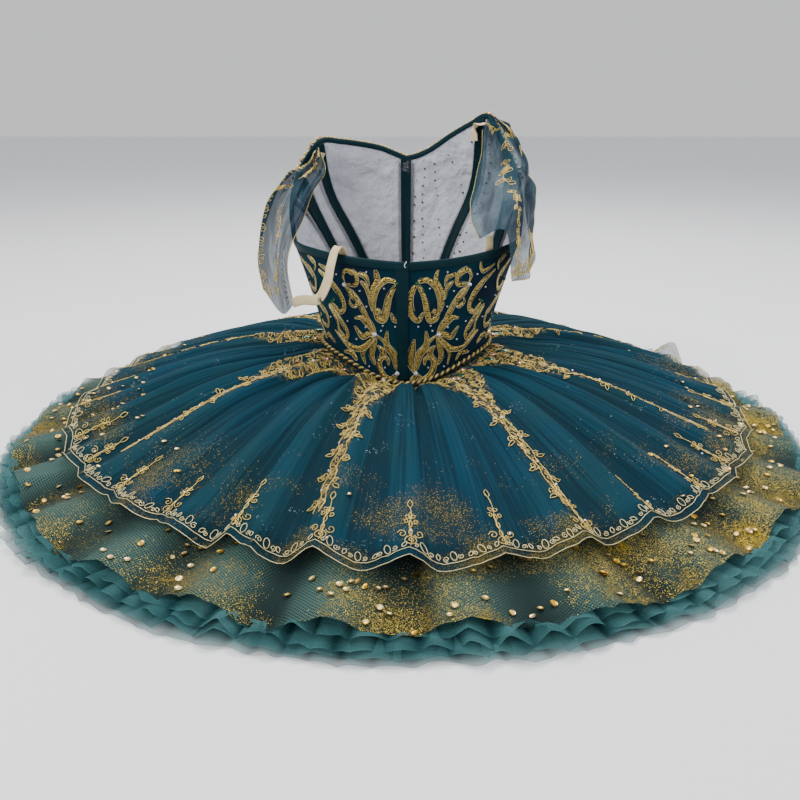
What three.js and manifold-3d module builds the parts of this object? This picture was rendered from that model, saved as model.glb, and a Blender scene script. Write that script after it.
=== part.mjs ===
// Ballet tutu of the flat, wide kind, standing by itself on a table.
// Millimetres, +Z up, +Y towards the wearer's front, +X towards the wearer's right.
// A boned bodice, low at the back and high at the front, stands on a stack of gathered net plates.
import * as THREE from 'three';
import { mergeVertices } from 'three/addons/utils/BufferGeometryUtils.js';
import Module from 'manifold-3d';

const wasm = await Module();
wasm.setup();

// Driving sizes
const CLOTH = 1.6; // bodice fabric with its interlining
const LINING = 1.0;
const NET = 1.2; // one gathered plate of net
const SEAM = 0.3; // distance between pieces at a seam
const PLATE_REACH = 434; // waist centre to the scalloped edge of the top plate
const GOLD_REACH = 488; // to the edge of the gilded plate
const NET_REACH = 500; // to the edge of the upper net frill
const FLOOR_REACH = 506; // to the edge of the lowest net frill
const BODICE_SIDE_LOW = 118; // height of the bodice's lower edge at the side seams
const BODICE_DIP = 33; // how far that edge dips at the centre front and back
const FRONT_COLUMNS = 30; // columns of the bodice's front, and of all that follows its edge
const FRONT_ROWS = 8;
const SIDE_SEAM = 8; // degrees that the side seams lie behind the widest point
const SCALLOPS = 32;
const COLUMNS = 4 * SCALLOPS; // radial lines round the top plate
const LOWER_COLUMNS = 120; // radial lines round the plates below it
const FLOOR_COLUMNS = 80; // radial lines round the lowest frill

// Folds round each plate: how many, and how deep they are at the free edge
const FOLDS = {
  plate: { count: 36, depth: 6 },
  gold: { count: 26, depth: 9 },
  net: { count: 30, depth: 1 },
  floor: { count: 20, depth: 0.8 },
};

// Cross-sections of the bodice, from its lower edge up: half width, and depth behind and before the side line
const BODICE_SECTIONS = [
  { z: 70, half: 104, back: 90, front: 92 },
  { z: 100, half: 103, back: 88, front: 90 },
  { z: 130, half: 106, back: 89, front: 92 },
  { z: 170, half: 116, back: 96, front: 99 },
  { z: 210, half: 128, back: 103, front: 108 },
  { z: 250, half: 140, back: 109, front: 116 },
  { z: 290, half: 148, back: 112, front: 122 },
  { z: 330, half: 148, back: 112, front: 122 },
  { z: 370, half: 138, back: 110, front: 116 },
  { z: 410, half: 128, back: 108, front: 110 },
];

// Top edge of the bodice by angle from the side towards the front, in degrees.
// The soft left side has slumped, so the left peak stands lower than the right one.
const TOP_EDGE = [
  { angle: -90, right: 237, left: 237 },
  { angle: -60, right: 241, left: 241 },
  { angle: -30, right: 248, left: 247 },
  { angle: -10, right: 253, left: 251 },
  { angle: 0, right: 262, left: 260 },
  { angle: 8, right: 292, left: 290 },
  { angle: 16, right: 331, left: 319 },
  { angle: 24, right: 366, left: 346 },
  { angle: 32, right: 395, left: 365 },
  { angle: 47, right: 385, left: 364 },
  { angle: 61, right: 370, left: 360 },
  { angle: 73, right: 354, left: 355 },
  { angle: 82, right: 345, left: 348 },
  { angle: 90, right: 341, left: 341 },
];

// Bust cups: each bulges the front outwards round one centre
const CUP = { angle: 56, z: 300, bulge: 11, spreadAngle: 19, spreadZ: 46 };

// Height of each plate by distance from the waist's centre, and the share of the full fold depth there
const PLATE_PROFILE = [
  { r: 105, z: 105, fold: 0 },
  { r: 130, z: 110, fold: 0.25 },
  { r: 165, z: 112, fold: 0.5 },
  { r: 210, z: 109, fold: 0.65 },
  { r: 265, z: 98.5, fold: 0.75 },
  { r: 325, z: 80.5, fold: 0.85 },
  { r: 380, z: 61.5, fold: 0.95 },
  { r: 434, z: 43, fold: 1 },
];
const GOLD_PROFILE = [
  { r: 105, z: 92, fold: 0 },
  { r: 210, z: 95, fold: 0.2 },
  { r: 325, z: 65, fold: 0.4 },
  { r: 425, z: 30, fold: 0.62 },
  { r: 488, z: 19.5, fold: 1 },
];
const NET_PROFILE = [
  { r: 105, z: 52, fold: 0 },
  { r: 210, z: 58, fold: 0.15 },
  { r: 325, z: 38, fold: 0.25 },
  { r: 425, z: 16, fold: 0.35 },
  { r: 500, z: 9.2, fold: 0.4 },
];
const FLOOR_PROFILE = [
  { r: 105, z: 30, fold: 0 },
  { r: 160, z: 13, fold: 0 },
  { r: 230, z: 0.6, fold: 0 },
  { r: 462, z: 0.6, fold: 0 },
  { r: 506, z: 0.6, fold: 1 },
];

// Embroidered lace motifs sewn on the top plate, by angle round the skirt, and their half width along it
const MOTIF_CENTRE_BACK = -85;
const MOTIF_OFFSETS = [17.5, 57.5, 107.5, 145];
const MOTIF_WIDTHS = [
  { r: 115, half: 34 },
  { r: 165, half: 27 },
  { r: 210, half: 17 },
  { r: 265, half: 12 },
  { r: 325, half: 9 },
  { r: 380, half: 8 },
  { r: 400, half: 0 },
];
const MOTIF_RELIEF = 1.6;

// The brief under the skirt, flattened by the table: half width and half depth
const BRIEF_SECTIONS = [
  { z: 130, half: 104.4, depth: 87.4 },
  { z: 100, half: 101.4, depth: 86.4 },
  { z: 80, half: 102.4, depth: 88 },
  { z: 60, half: 108, depth: 93.5 },
  { z: 32, half: 114, depth: 99 },
  { z: 10, half: 109, depth: 94 },
  { z: 0, half: 92, depth: 77 },
];

const COLOURS = {
  velvet: { color: 0x0d3038, roughness: 0.75 },
  lining: { color: 0xc9c8d0, roughness: 0.9 },
  plate: { color: 0x123f50, roughness: 0.8 },
  gold_net: { color: 0x5d5a2c, roughness: 0.55, metalness: 0.3 },
  net: { color: 0x2a5f68, roughness: 0.85 },
  trim: { color: 0xb59a4a, roughness: 0.4, metalness: 0.7 },
  elastic: { color: 0xe6d8ae, roughness: 0.85 },
  organza: { color: 0x2a5468, roughness: 0.6 },
};

const radians = THREE.MathUtils.degToRad;
const mix = THREE.MathUtils.lerp;
const smooth = THREE.MathUtils.smoothstep;

// Reads one column of a table at x, along a smooth curve through its rows.
function read(table, key, column, x) {
  const ascending = table[0][key] < table[table.length - 1][key] ? table : [...table].reverse();
  const at = (i) => ascending[Math.min(Math.max(i, 0), ascending.length - 1)];
  let i = 0;
  while (i < ascending.length - 2 && ascending[i + 1][key] < x) i += 1;
  const span = at(i + 1)[key] - at(i)[key];
  const t = Math.min(Math.max((x - at(i)[key]) / span, 0), 1);
  const slope = (j) => {
    const run = at(j + 1)[key] - at(j - 1)[key];
    return (span * (at(j + 1)[column] - at(j - 1)[column])) / run;
  };
  const [a, b] = [at(i)[column], at(i + 1)[column]];
  const keep = 2 * t ** 3 - 3 * t ** 2 + 1;
  return a * keep + b * (1 - keep) + slope(i) * (t ** 3 - 2 * t ** 2 + t) + slope(i + 1) * (t ** 3 - t ** 2);
}

function polar(radius, degrees, z) {
  return new THREE.Vector3(radius * Math.cos(radians(degrees)), radius * Math.sin(radians(degrees)), z);
}

function ellipseRadius(half, depth, degrees) {
  return 1 / Math.hypot(Math.cos(radians(degrees)) / half, Math.sin(radians(degrees)) / depth);
}

// Turns the faces round where they point inwards.
function facingOut(positions, index) {
  let volume = 0;
  const corner = (i) => new THREE.Vector3().fromArray(positions, index[i] * 3);
  for (let i = 0; i < index.length; i += 3) volume += corner(i).dot(corner(i + 1).cross(corner(i + 2)));
  if (volume < 0) index.reverse();
  const geometry = new THREE.BufferGeometry();
  geometry.setAttribute('position', new THREE.Float32BufferAttribute(positions, 3));
  geometry.setIndex(index);
  return geometry;
}

// Closes a grid of outside points and its inside points into one wall, open or closed round its columns.
function wall(outside, inside, closedRound) {
  const rows = outside.length;
  const columns = outside[0].length;
  const positions = [...outside.flat(), ...inside.flat()].flatMap((p) => [p.x, p.y, p.z]);
  const out = (i, j) => i * columns + (j % columns);
  const back = (i, j) => rows * columns + out(i, j);
  const index = [];
  const quad = (a, b, c, d) => index.push(a, b, c, a, c, d);
  const spans = closedRound ? columns : columns - 1;
  const last = rows - 1;
  for (let j = 0; j < spans; j += 1) {
    for (let i = 0; i < last; i += 1) {
      quad(out(i, j), out(i, j + 1), out(i + 1, j + 1), out(i + 1, j));
      quad(back(i, j), back(i + 1, j), back(i + 1, j + 1), back(i, j + 1));
    }
    quad(back(0, j), back(0, j + 1), out(0, j + 1), out(0, j));
    quad(out(last, j), out(last, j + 1), back(last, j + 1), back(last, j));
  }
  for (let i = 0; i < last && !closedRound; i += 1) {
    quad(out(i, 0), out(i + 1, 0), back(i + 1, 0), back(i, 0));
    quad(back(i, spans), back(i + 1, spans), out(i + 1, spans), out(i, spans));
  }
  return facingOut(positions, index);
}

// Joins closed rings of points into one solid, with flat ends, or endless where the last ring meets the first.
function sweep(rings, endless) {
  const sides = rings[0].length;
  const positions = rings.flat().flatMap((p) => [p.x, p.y, p.z]);
  const at = (i, j) => (i % rings.length) * sides + (j % sides);
  const index = [];
  for (let i = 0; i < (endless ? rings.length : rings.length - 1); i += 1) {
    for (let j = 0; j < sides; j += 1) {
      index.push(at(i, j), at(i, j + 1), at(i + 1, j + 1), at(i, j), at(i + 1, j + 1), at(i + 1, j));
    }
  }
  for (let j = 1; j < sides - 1 && !endless; j += 1) {
    index.push(at(0, 0), at(0, j + 1), at(0, j));
    index.push(at(rings.length - 1, 0), at(rings.length - 1, j), at(rings.length - 1, j + 1));
  }
  return facingOut(positions, index);
}

// A round cord through points, each ring square to the path.
function cord(points, radius, sides, endless) {
  const rings = points.map((p, i) => {
    const before = points[endless ? (i + points.length - 1) % points.length : Math.max(i - 1, 0)];
    const after = points[endless ? (i + 1) % points.length : Math.min(i + 1, points.length - 1)];
    const along = after.clone().sub(before).normalize();
    const outwards = new THREE.Vector3(p.x, p.y, 0).normalize();
    const across = along.clone().cross(outwards).normalize();
    const square = across.clone().cross(along);
    return Array.from({ length: sides }, (_, k) => {
      const turn = (2 * Math.PI * k) / sides;
      const size = radius(i);
      return p.clone().addScaledVector(square, size * Math.cos(turn)).addScaledVector(across, size * Math.sin(turn));
    });
  });
  return sweep(rings, endless);
}

// A flat strap along a smooth path, its width along the given direction at each point.
function strap(stops, width, thick, steps) {
  const curve = new THREE.CatmullRomCurve3(stops.map((s) => s.at));
  const rings = Array.from({ length: steps + 1 }, (_, i) => {
    const t = i / steps;
    const centre = curve.getPoint(t);
    const place = Math.min(Math.floor(t * (stops.length - 1)), stops.length - 2);
    const wide = stops[place].wide.clone().lerp(stops[place + 1].wide, t * (stops.length - 1) - place);
    const along = curve.getTangent(t);
    wide.addScaledVector(along, -wide.dot(along)).normalize();
    const face = along.clone().cross(wide).normalize();
    const corner = (a, b) => centre.clone().addScaledVector(wide, a * width).addScaledVector(face, b * thick);
    return [corner(-0.5, -0.5), corner(0.5, -0.5), corner(0.5, 0.5), corner(-0.5, 0.5)];
  });
  return sweep(rings, false);
}

// Moves a grid of points square to its own surface.
function moved(grid, distance) {
  const last = grid.length - 1;
  const end = grid[0].length - 1;
  return grid.map((row, i) =>
    row.map((p, j) => {
      const down = grid[Math.min(i + 1, last)][j].clone().sub(grid[Math.max(i - 1, 0)][j]);
      const across = grid[i][Math.min(j + 1, end)].clone().sub(grid[i][Math.max(j - 1, 0)]);
      return p.clone().addScaledVector(down.cross(across).normalize(), distance);
    }),
  );
}

// Bodice

// Degrees from the nearer side towards the front, and which side that is, for an angle round the body.
function sideAngle(degrees) {
  const turn = ((((degrees + 90) % 360) + 360) % 360) - 90;
  return turn <= 90 ? { side: 'right', angle: turn } : { side: 'left', angle: 180 - turn };
}

function topEdge(degrees) {
  const { side, angle } = sideAngle(degrees);
  return read(TOP_EDGE, 'angle', side, angle);
}

function bottomEdge(degrees) {
  return BODICE_SIDE_LOW - BODICE_DIP * Math.abs(Math.sin(radians(degrees))) ** 3;
}

function bodiceRadius(degrees, z) {
  const depth = Math.sin(radians(degrees)) < 0 ? 'back' : 'front';
  const { angle } = sideAngle(degrees);
  const across = Math.exp(-(((angle - CUP.angle) / CUP.spreadAngle) ** 2));
  const up = Math.exp(-(((z - CUP.z) / CUP.spreadZ) ** 2));
  const shell = ellipseRadius(read(BODICE_SECTIONS, 'z', 'half', z), read(BODICE_SECTIONS, 'z', depth, z), degrees);
  return shell + CUP.bulge * across * up;
}

// A grid on the bodice between two angles, offset outwards, from a share of its height to another.
function bodiceGrid(from, to, columns, rows, offset, low = 0, high = 1) {
  return Array.from({ length: rows + 1 }, (_, i) =>
    Array.from({ length: columns + 1 }, (_, j) => {
      const angle = mix(from, to, j / columns);
      const z = mix(bottomEdge(angle), topEdge(angle), mix(low, high, i / rows));
      return polar(bodiceRadius(angle, z) + offset, angle, z);
    }),
  );
}

function bodicePanel(from, to, columns, rows, outer, inner, low, high) {
  const outside = bodiceGrid(from, to, columns, rows, outer, low, high);
  return wall(outside, bodiceGrid(from, to, columns, rows, inner, low, high), false);
}

const SEAM_TURN = 0.08; // degrees from a seam's line to the panel's edge, about half of SEAM
const frontEnds = [SEAM_TURN - SIDE_SEAM, 180 + SIDE_SEAM - SEAM_TURN];
const backRightEnds = [SEAM_TURN - 90, -SIDE_SEAM - SEAM_TURN];
const backLeftEnds = [180 + SIDE_SEAM + SEAM_TURN, 270 - SEAM_TURN];
const BACK = { columns: 12, rows: 5 };
const bodiceFront = bodicePanel(...frontEnds, FRONT_COLUMNS, FRONT_ROWS, CLOTH / 2, -CLOTH / 2);
const bodiceBackRight = bodicePanel(...backRightEnds, BACK.columns, BACK.rows, CLOTH / 2, -CLOTH / 2);
const bodiceBackLeft = bodicePanel(...backLeftEnds, BACK.columns, BACK.rows, CLOTH / 2, -CLOTH / 2);

// The front's lining shares the front's rows, without the lowest one, which the brief fills.
const liningLow = 1 / FRONT_ROWS;
const liningOut = -CLOTH / 2 - SEAM;
const liningIn = liningOut - LINING;
const liningFront = bodicePanel(...frontEnds, FRONT_COLUMNS, FRONT_ROWS - 1, liningOut, liningIn, liningLow, 1);

// Bone channels stand on the lining along its seams, each from an angle at the lining's foot to one at its top,
// with more room where the lining twists under the steep armhole.
const CHANNELS = [
  { foot: 25, top: 18, gap: 1.4 },
  { foot: 72, top: 37, gap: 0.8 },
  { foot: 90, top: 90, gap: 0.8 },
  { foot: 108, top: 150, gap: 0.8 },
  { foot: 130, top: 165, gap: 0.8 },
];
const CHANNEL = { halfTurn: 2.6, thick: 1.4 };
const channels = CHANNELS.map(({ foot, top, gap }) => {
  const layer = (offset) => {
    const rows = FRONT_ROWS - 1;
    const grid = bodiceGrid(...frontEnds, FRONT_COLUMNS, rows, offset, liningLow, 1);
    return grid.map((row, i) =>
      [-1, 0, 1].map((side) => {
        const turn = mix(foot, top, i / rows) + side * CHANNEL.halfTurn - frontEnds[0];
        const column = (turn / (frontEnds[1] - frontEnds[0])) * FRONT_COLUMNS;
        const before = Math.floor(column);
        return row[before].clone().lerp(row[before + 1], column - before);
      }),
    );
  };
  return wall(layer(liningIn - gap), layer(liningIn - gap - CHANNEL.thick), false);
});

// The placket covers the hooks and eyes where the two back panels meet. It stops above the waist's rope.
const PLACKET = { from: -97, to: -89, thick: 1.2, low: 0.065 };
const placketIn = CLOTH / 2 + 3 * SEAM;
const placketOut = placketIn + PLACKET.thick;
const placket = bodicePanel(PLACKET.from, PLACKET.to, 2, BACK.rows, placketOut, placketIn, PLACKET.low, 1);

// A path along the top edge, moved off it square to the edge within the cloth, and outwards.
function edgePath([from, to], steps, lift, offset) {
  return Array.from({ length: steps + 1 }, (_, i) => {
    const edge = mix(from, to, i / steps);
    const rise = topEdge(edge + 1) - topEdge(edge - 1);
    const radius = bodiceRadius(edge, topEdge(edge));
    const slope = Math.atan2(rise, radians(2) * radius);
    const angle = edge - THREE.MathUtils.radToDeg((lift * Math.sin(slope)) / radius);
    const z = topEdge(edge) + lift * Math.cos(slope);
    return polar(bodiceRadius(angle, z) + offset, angle, z);
  });
}

// Binding: a soft roll that sits on the cloth's edge
const BINDING = 2.4;
const shortened = ([from, to]) => [from + 1.2, to - 1.2];
function binding(ends, steps, gap) {
  return cord(edgePath(shortened(ends), steps, BINDING + gap, 0), () => BINDING, 5, false);
}
const bindingFront = binding(frontEnds, FRONT_COLUMNS, 1.3);
const bindingRight = binding(backRightEnds, BACK.columns, 0.4);
const bindingLeft = binding(backLeftEnds, BACK.columns, 0.4);

// Gilded bead trim outside the front's neckline, in lumps
const TRIM = { ends: [24, 156], lumps: 26, thick: 2.9, thin: 2.1, below: 3.2 };
const trimPath = edgePath(TRIM.ends, 2 * TRIM.lumps, -TRIM.below, CLOTH / 2 + TRIM.thick + 2 * SEAM);
const neckTrim = cord(trimPath, (i) => (i % 2 ? TRIM.thick : TRIM.thin), 5, false);

// Twisted gold cord where the bodice meets the skirt
const ROPE = { radius: 2.8, thin: 2.1, lumps: 32, above: 4.9 };
const ropePath = Array.from({ length: 2 * ROPE.lumps }, (_, i) => {
  const angle = (180 * i) / ROPE.lumps;
  const z = bottomEdge(angle) + ROPE.above;
  return polar(bodiceRadius(angle, z + ROPE.radius) + CLOTH / 2 + ROPE.radius + 3 * SEAM, angle, z);
});
const waistRope = cord(ropePath, (i) => (i % 2 ? ROPE.radius : ROPE.thin), 5, true);

// Skirt

// Uneven folds between -1 and 1: their spacing and depth wander round the skirt.
function folds(count, degrees) {
  const turn = radians(degrees);
  const wander = 0.55 * Math.sin(3 * turn + 0.7) + 0.4 * Math.sin(5 * turn + 2.1);
  const strength = 0.84 + 0.16 * Math.sin(7 * turn + 1.3);
  return strength * Math.cos(count * turn + wander);
}

// 1 at the tip of a scallop and 0 at the notch between two
function scallop(degrees) {
  return Math.abs(Math.sin(radians((SCALLOPS * degrees) / 2)));
}

// How much of a motif lies at this place on the top plate, from 0 to 1
function motif(degrees, r) {
  const half = r < 115 || r > 400 ? 0 : read(MOTIF_WIDTHS, 'r', 'half', r);
  const places = [...MOTIF_OFFSETS, ...MOTIF_OFFSETS.map((a) => -a), 180];
  const nearest = Math.min(
    ...places.map((a) => Math.abs(((degrees - MOTIF_CENTRE_BACK - a + 540) % 360) - 180)),
  );
  return half > 0 ? 1 - smooth(radians(nearest) * r, half * 0.9, half * 1.25) : 0;
}

// The brief's radius, which the lower plates' inner edges are sewn to
function briefRadius(degrees, z) {
  return ellipseRadius(read(BRIEF_SECTIONS, 'z', 'half', z), read(BRIEF_SECTIONS, 'z', 'depth', z), degrees);
}

// Each plate starts at the waist and runs out over its rows, at its profile's height.
// Near the waist its height settles on that of its own inner edge.
function plate({ rows, columns, inner, reach, innerHeight, profile, foldsAt, relief }) {
  const points = rows.map((row, i) =>
    Array.from({ length: columns }, (_, j) => {
      const angle = (360 * j) / columns;
      const start = inner(angle);
      const ends = { 0: start, [rows.length - 1]: reach(angle) };
      const r = ends[i] ?? row;
      const settle = (innerHeight(angle) - profile[0].z) * (1 - smooth(r, start, 175));
      return { angle, r, z: read(profile, 'r', 'z', r) + settle + foldsAt(angle, r) };
    }),
  );
  const top = (p) => polar(p.r, p.angle, p.z + NET / 2 + relief(p.angle, p.r));
  const under = (p) => polar(p.r, p.angle, p.z - NET / 2);
  return wall(points.map((row) => row.map(top)), points.map((row) => row.map(under)), true);
}

const none = () => 0;
const lowered = (drop) => (angle) => bottomEdge(angle) - drop;
const onBrief = (height, gap) => (angle) => briefRadius(angle, height(angle)) + gap;

const topPlate = plate({
  rows: [0, 132, 175, 235, 300, 362, PLATE_REACH],
  columns: COLUMNS,
  inner: (angle) => bodiceRadius(angle, bottomEdge(angle)),
  reach: (angle) => PLATE_REACH - 9 * (1 - scallop(angle)),
  innerHeight: lowered(1.6),
  profile: PLATE_PROFILE,
  foldsAt: (angle, r) => FOLDS.plate.depth * read(PLATE_PROFILE, 'r', 'fold', r) * folds(FOLDS.plate.count, angle),
  relief: (angle, r) => MOTIF_RELIEF * motif(angle, r),
});

const goldPlate = plate({
  rows: [0, 160, 325, 425, GOLD_REACH],
  columns: LOWER_COLUMNS,
  inner: onBrief(lowered(15), 3 * SEAM),
  reach: (angle) => GOLD_REACH + 4 * folds(11, angle),
  innerHeight: lowered(15),
  profile: GOLD_PROFILE,
  foldsAt: (angle, r) => FOLDS.gold.depth * read(GOLD_PROFILE, 'r', 'fold', r) * folds(FOLDS.gold.count, angle),
  relief: none,
});

// The upper frill lies in the gilded plate's flutes, with small pleats of its own near its edge.
const netUpper = plate({
  rows: [0, 325, 425, NET_REACH],
  columns: LOWER_COLUMNS,
  inner: onBrief(() => NET_PROFILE[0].z, 2 * SEAM),
  reach: () => NET_REACH,
  innerHeight: () => NET_PROFILE[0].z,
  profile: NET_PROFILE,
  foldsAt: (angle, r) => {
    const shared = FOLDS.gold.depth * folds(FOLDS.gold.count, angle);
    const own = FOLDS.net.depth * Math.sin(radians(FOLDS.net.count * angle)) * smooth(r, 325, NET_REACH);
    return shared * read(NET_PROFILE, 'r', 'fold', r) + own;
  },
  relief: none,
});

// The lowest frill lies flat on the table and lifts only at its free edge.
const netLower = plate({
  rows: [0, 230, 462, FLOOR_REACH],
  columns: FLOOR_COLUMNS,
  inner: onBrief(() => FLOOR_PROFILE[0].z, 2 * SEAM),
  reach: () => FLOOR_REACH,
  innerHeight: () => FLOOR_PROFILE[0].z,
  profile: FLOOR_PROFILE,
  foldsAt: (angle, r) => {
    const lift = FOLDS.floor.depth * (1 + Math.sin(radians(FOLDS.floor.count * angle)));
    return lift * read(FLOOR_PROFILE, 'r', 'fold', r);
  },
  relief: none,
});

// Brief: a bowl of knit with two leg holes
function solid(geometry) {
  const bare = mergeVertices(geometry);
  const vertProperties = bare.attributes.position.array;
  return new wasm.Manifold(new wasm.Mesh({ numProp: 3, vertProperties, triVerts: new Uint32Array(bare.index.array) }));
}

function fromSolid(manifold) {
  const made = manifold.getMesh();
  const geometry = new THREE.BufferGeometry();
  geometry.setAttribute('position', new THREE.Float32BufferAttribute(made.vertProperties, 3));
  geometry.setIndex(Array.from(made.triVerts));
  return geometry;
}

function oval(half, depth, z, x = 0, sides = 24) {
  return Array.from({ length: sides }, (_, j) => {
    const turn = (2 * Math.PI * j) / sides;
    return new THREE.Vector3(x + half * Math.cos(turn), depth * Math.sin(turn), z);
  });
}

// The brief's bowl: its top ring follows the bodice's lower edge, inside it.
const BRIEF_CLOTH = 2;
function briefBowl(inset, rise, lift) {
  const rim = (above, share) =>
    Array.from({ length: 24 }, (_, j) => {
      const angle = 15 * j;
      const z = mix(bottomEdge(angle) + above, 60, share);
      return polar(briefRadius(angle, z) - inset, angle, z + rise);
    });
  const lower = BRIEF_SECTIONS.filter((s) => s.z <= 60);
  const rings = lower.map((s) => oval(s.half - inset, s.depth - inset, Math.max(s.z, lift)));
  return solid(sweep([rim(8, 0), rim(-4, 0), rim(-4, 0.5), ...rings], false));
}
const briefOutside = briefBowl(0, 0, 0);
const briefInside = briefBowl(BRIEF_CLOTH, 5, BRIEF_CLOTH);
const legHole = (x) => solid(sweep([oval(34, 58, -5, x, 20), oval(38, 62, 14, x * 1.1, 20)], false));
const brief = fromSolid(briefOutside.subtract(briefInside).subtract(legHole(52)).subtract(legHole(-52)));

// Sleeves: each is a sheet of organza through three guide lines, with gathers across it.
// The right one arches over the bodice's side. The left one has slipped off it and hangs outside.
const RIGHT_SLEEVE = [
  { along: 0, inner: [96, 46, 380], ridge: [106, 42, 398], hem: [117, 41, 386] },
  { along: 0.25, inner: [95, 44, 345], ridge: [131, 42, 381], hem: [154, 36, 326] },
  { along: 0.5, inner: [84, 16, 300], ridge: [146, 14, 348], hem: [162, 6, 240] },
  { along: 0.75, inner: [80, -34, 276], ridge: [139, -34, 312], hem: [150, -56, 214] },
  { along: 1, inner: [84, -76, 262], ridge: [112, -84, 274], hem: [122, -96, 216] },
];
const LEFT_SLEEVE = [
  { along: 0, inner: [-110, 59, 352], ridge: [-113, 54, 359], hem: [-118, 49, 352] },
  { along: 0.2, inner: [-104, 44, 330], ridge: [-116, 40, 340], hem: [-127, 34, 333] },
  { along: 0.4, inner: [-116, 12, 308], ridge: [-134, 10, 324], hem: [-156, 4, 318] },
  { along: 0.6, inner: [-126, -18, 280], ridge: [-150, -18, 294], hem: [-167, -12, 287] },
  { along: 0.8, inner: [-144, -46, 234], ridge: [-160, -44, 240], hem: [-182, -24, 240] },
  { along: 1, inner: [-139, -52, 178], ridge: [-152, -50, 166], hem: [-180, -26, 192] },
];

function sleeve(lines, gathers, depth, rows, columns) {
  const guide = (name) => new THREE.CatmullRomCurve3(lines.map((l) => new THREE.Vector3(...l[name])));
  const [inner, ridge, hem] = ['inner', 'ridge', 'hem'].map(guide);
  const sheet = Array.from({ length: rows + 1 }, (_, i) => {
    const s = i / rows;
    const across = new THREE.CatmullRomCurve3([inner.getPoint(s), ridge.getPoint(s), hem.getPoint(s)]);
    return Array.from({ length: columns + 1 }, (_, j) => across.getPoint(j / columns));
  });
  const lifted = moved(sheet, 1);
  const gathered = sheet.map((row, i) =>
    row.map((p, j) => {
      const wave = Math.sin((2 * Math.PI * gathers * i) / rows) * Math.sin((Math.PI * i) / rows);
      return p.clone().lerp(lifted[i][j], depth * wave * (0.35 + (0.65 * j) / columns));
    }),
  );
  return wall(moved(gathered, 0.6), moved(gathered, -0.6), false);
}

const sleeveRight = sleeve(RIGHT_SLEEVE, 4, 3.5, 16, 9);
const sleeveLeft = sleeve(LEFT_SLEEVE, 3, 2, 14, 8);

// Elastic straps: the sleeves hang on them between the front corners and the back's top edge.
const at = (x, y, z) => new THREE.Vector3(x, y, z);
const STRAP = { width: 12, thick: 1.2 };
const elasticLeftFront = strap(
  [
    { at: at(-115, 66, 330), wide: at(-0.5, -0.87, 0) },
    { at: at(-114.5, 66, 339), wide: at(-0.5, -0.87, 0) },
    { at: at(-108.6, 64.9, 351.5), wide: at(-0.5, -0.87, 0) },
  ],
  STRAP.width,
  STRAP.thick,
  4,
);
const elasticLeftBack = strap(
  [
    { at: at(-73, -85, 236), wide: at(0.757, -0.65, 0) },
    { at: at(-75, -87, 250), wide: at(0.757, -0.65, 0) },
    { at: at(-78.5, -91.5, 255.5), wide: at(0.757, -0.65, 0) },
    { at: at(-82.5, -96, 251), wide: at(0.757, -0.65, 0) },
    { at: at(-87, -102, 236), wide: at(0.8, -0.6, 0) },
    { at: at(-92, -105, 216), wide: at(0.9, -0.4, 0.3) },
    { at: at(-103, -102, 197), wide: at(0.6, -0.3, 0.7) },
    { at: at(-124, -86, 192), wide: at(0.1, -0.3, 1) },
    { at: at(-140.2, -53.8, 181), wide: at(0, -0.4, 1) },
  ],
  STRAP.width,
  STRAP.thick,
  16,
);
const elasticRightFront = strap(
  [
    { at: at(89, 74.8, 366), wide: at(-0.64, 0.77, 0) },
    { at: at(88.5, 74.2, 376), wide: at(-0.64, 0.77, 0) },
    { at: at(92, 68, 386), wide: at(0.9, 0.3, 0) },
    { at: at(95.5, 45.8, 386), wide: at(1, 0, 0.1) },
  ],
  STRAP.width,
  STRAP.thick,
  4,
);
const elasticRightBack = strap(
  [
    { at: at(96.9, -72.5, 236), wide: at(0.77, 0.64, 0) },
    { at: at(97.5, -73.1, 250), wide: at(0.77, 0.64, 0) },
    { at: at(97, -73, 265.2), wide: at(0.77, 0.64, 0) },
  ],
  STRAP.width,
  STRAP.thick,
  4,
);

// Assembly
const tutu = new THREE.Group();
function add(name, geometry, colour) {
  const mesh = new THREE.Mesh(geometry, new THREE.MeshStandardMaterial(COLOURS[colour]));
  mesh.name = name;
  tutu.add(mesh);
}

add('bodice_front', bodiceFront, 'velvet');
add('bodice_back_right', bodiceBackRight, 'velvet');
add('bodice_back_left', bodiceBackLeft, 'velvet');
add('lining_front', liningFront, 'lining');
channels.forEach((channel, i) => add(`bone_channel_${i + 1}`, channel, 'velvet'));
add('placket', placket, 'velvet');
add('binding_front', bindingFront, 'velvet');
add('binding_back_right', bindingRight, 'velvet');
add('binding_back_left', bindingLeft, 'velvet');
add('neck_trim', neckTrim, 'trim');
add('waist_rope', waistRope, 'trim');
add('plate_top', topPlate, 'plate');
add('plate_gold', goldPlate, 'gold_net');
add('net_upper', netUpper, 'net');
add('net_lower', netLower, 'net');
add('brief', brief, 'net');
add('sleeve_right', sleeveRight, 'organza');
add('sleeve_left', sleeveLeft, 'organza');
add('elastic_left_front', elasticLeftFront, 'elastic');
add('elastic_left_back', elasticLeftBack, 'elastic');
add('elastic_right_front', elasticRightFront, 'elastic');
add('elastic_right_back', elasticRightBack, 'elastic');

export default tutu;
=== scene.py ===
# %% [markdown]
# A ballet tutu stands by itself on a table. Its bodice is boned velvet, low at the back and high at the front.
# The skirt under it is a stack of gathered net plates, so flat and wide that it carries itself.
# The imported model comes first: every piece below lies where that model says, in metres, with the front along +Y.

# %% Load the fixed frame
import math
import random

import bmesh
import bpy
import numpy as np
from mathutils import Matrix, Vector


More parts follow.
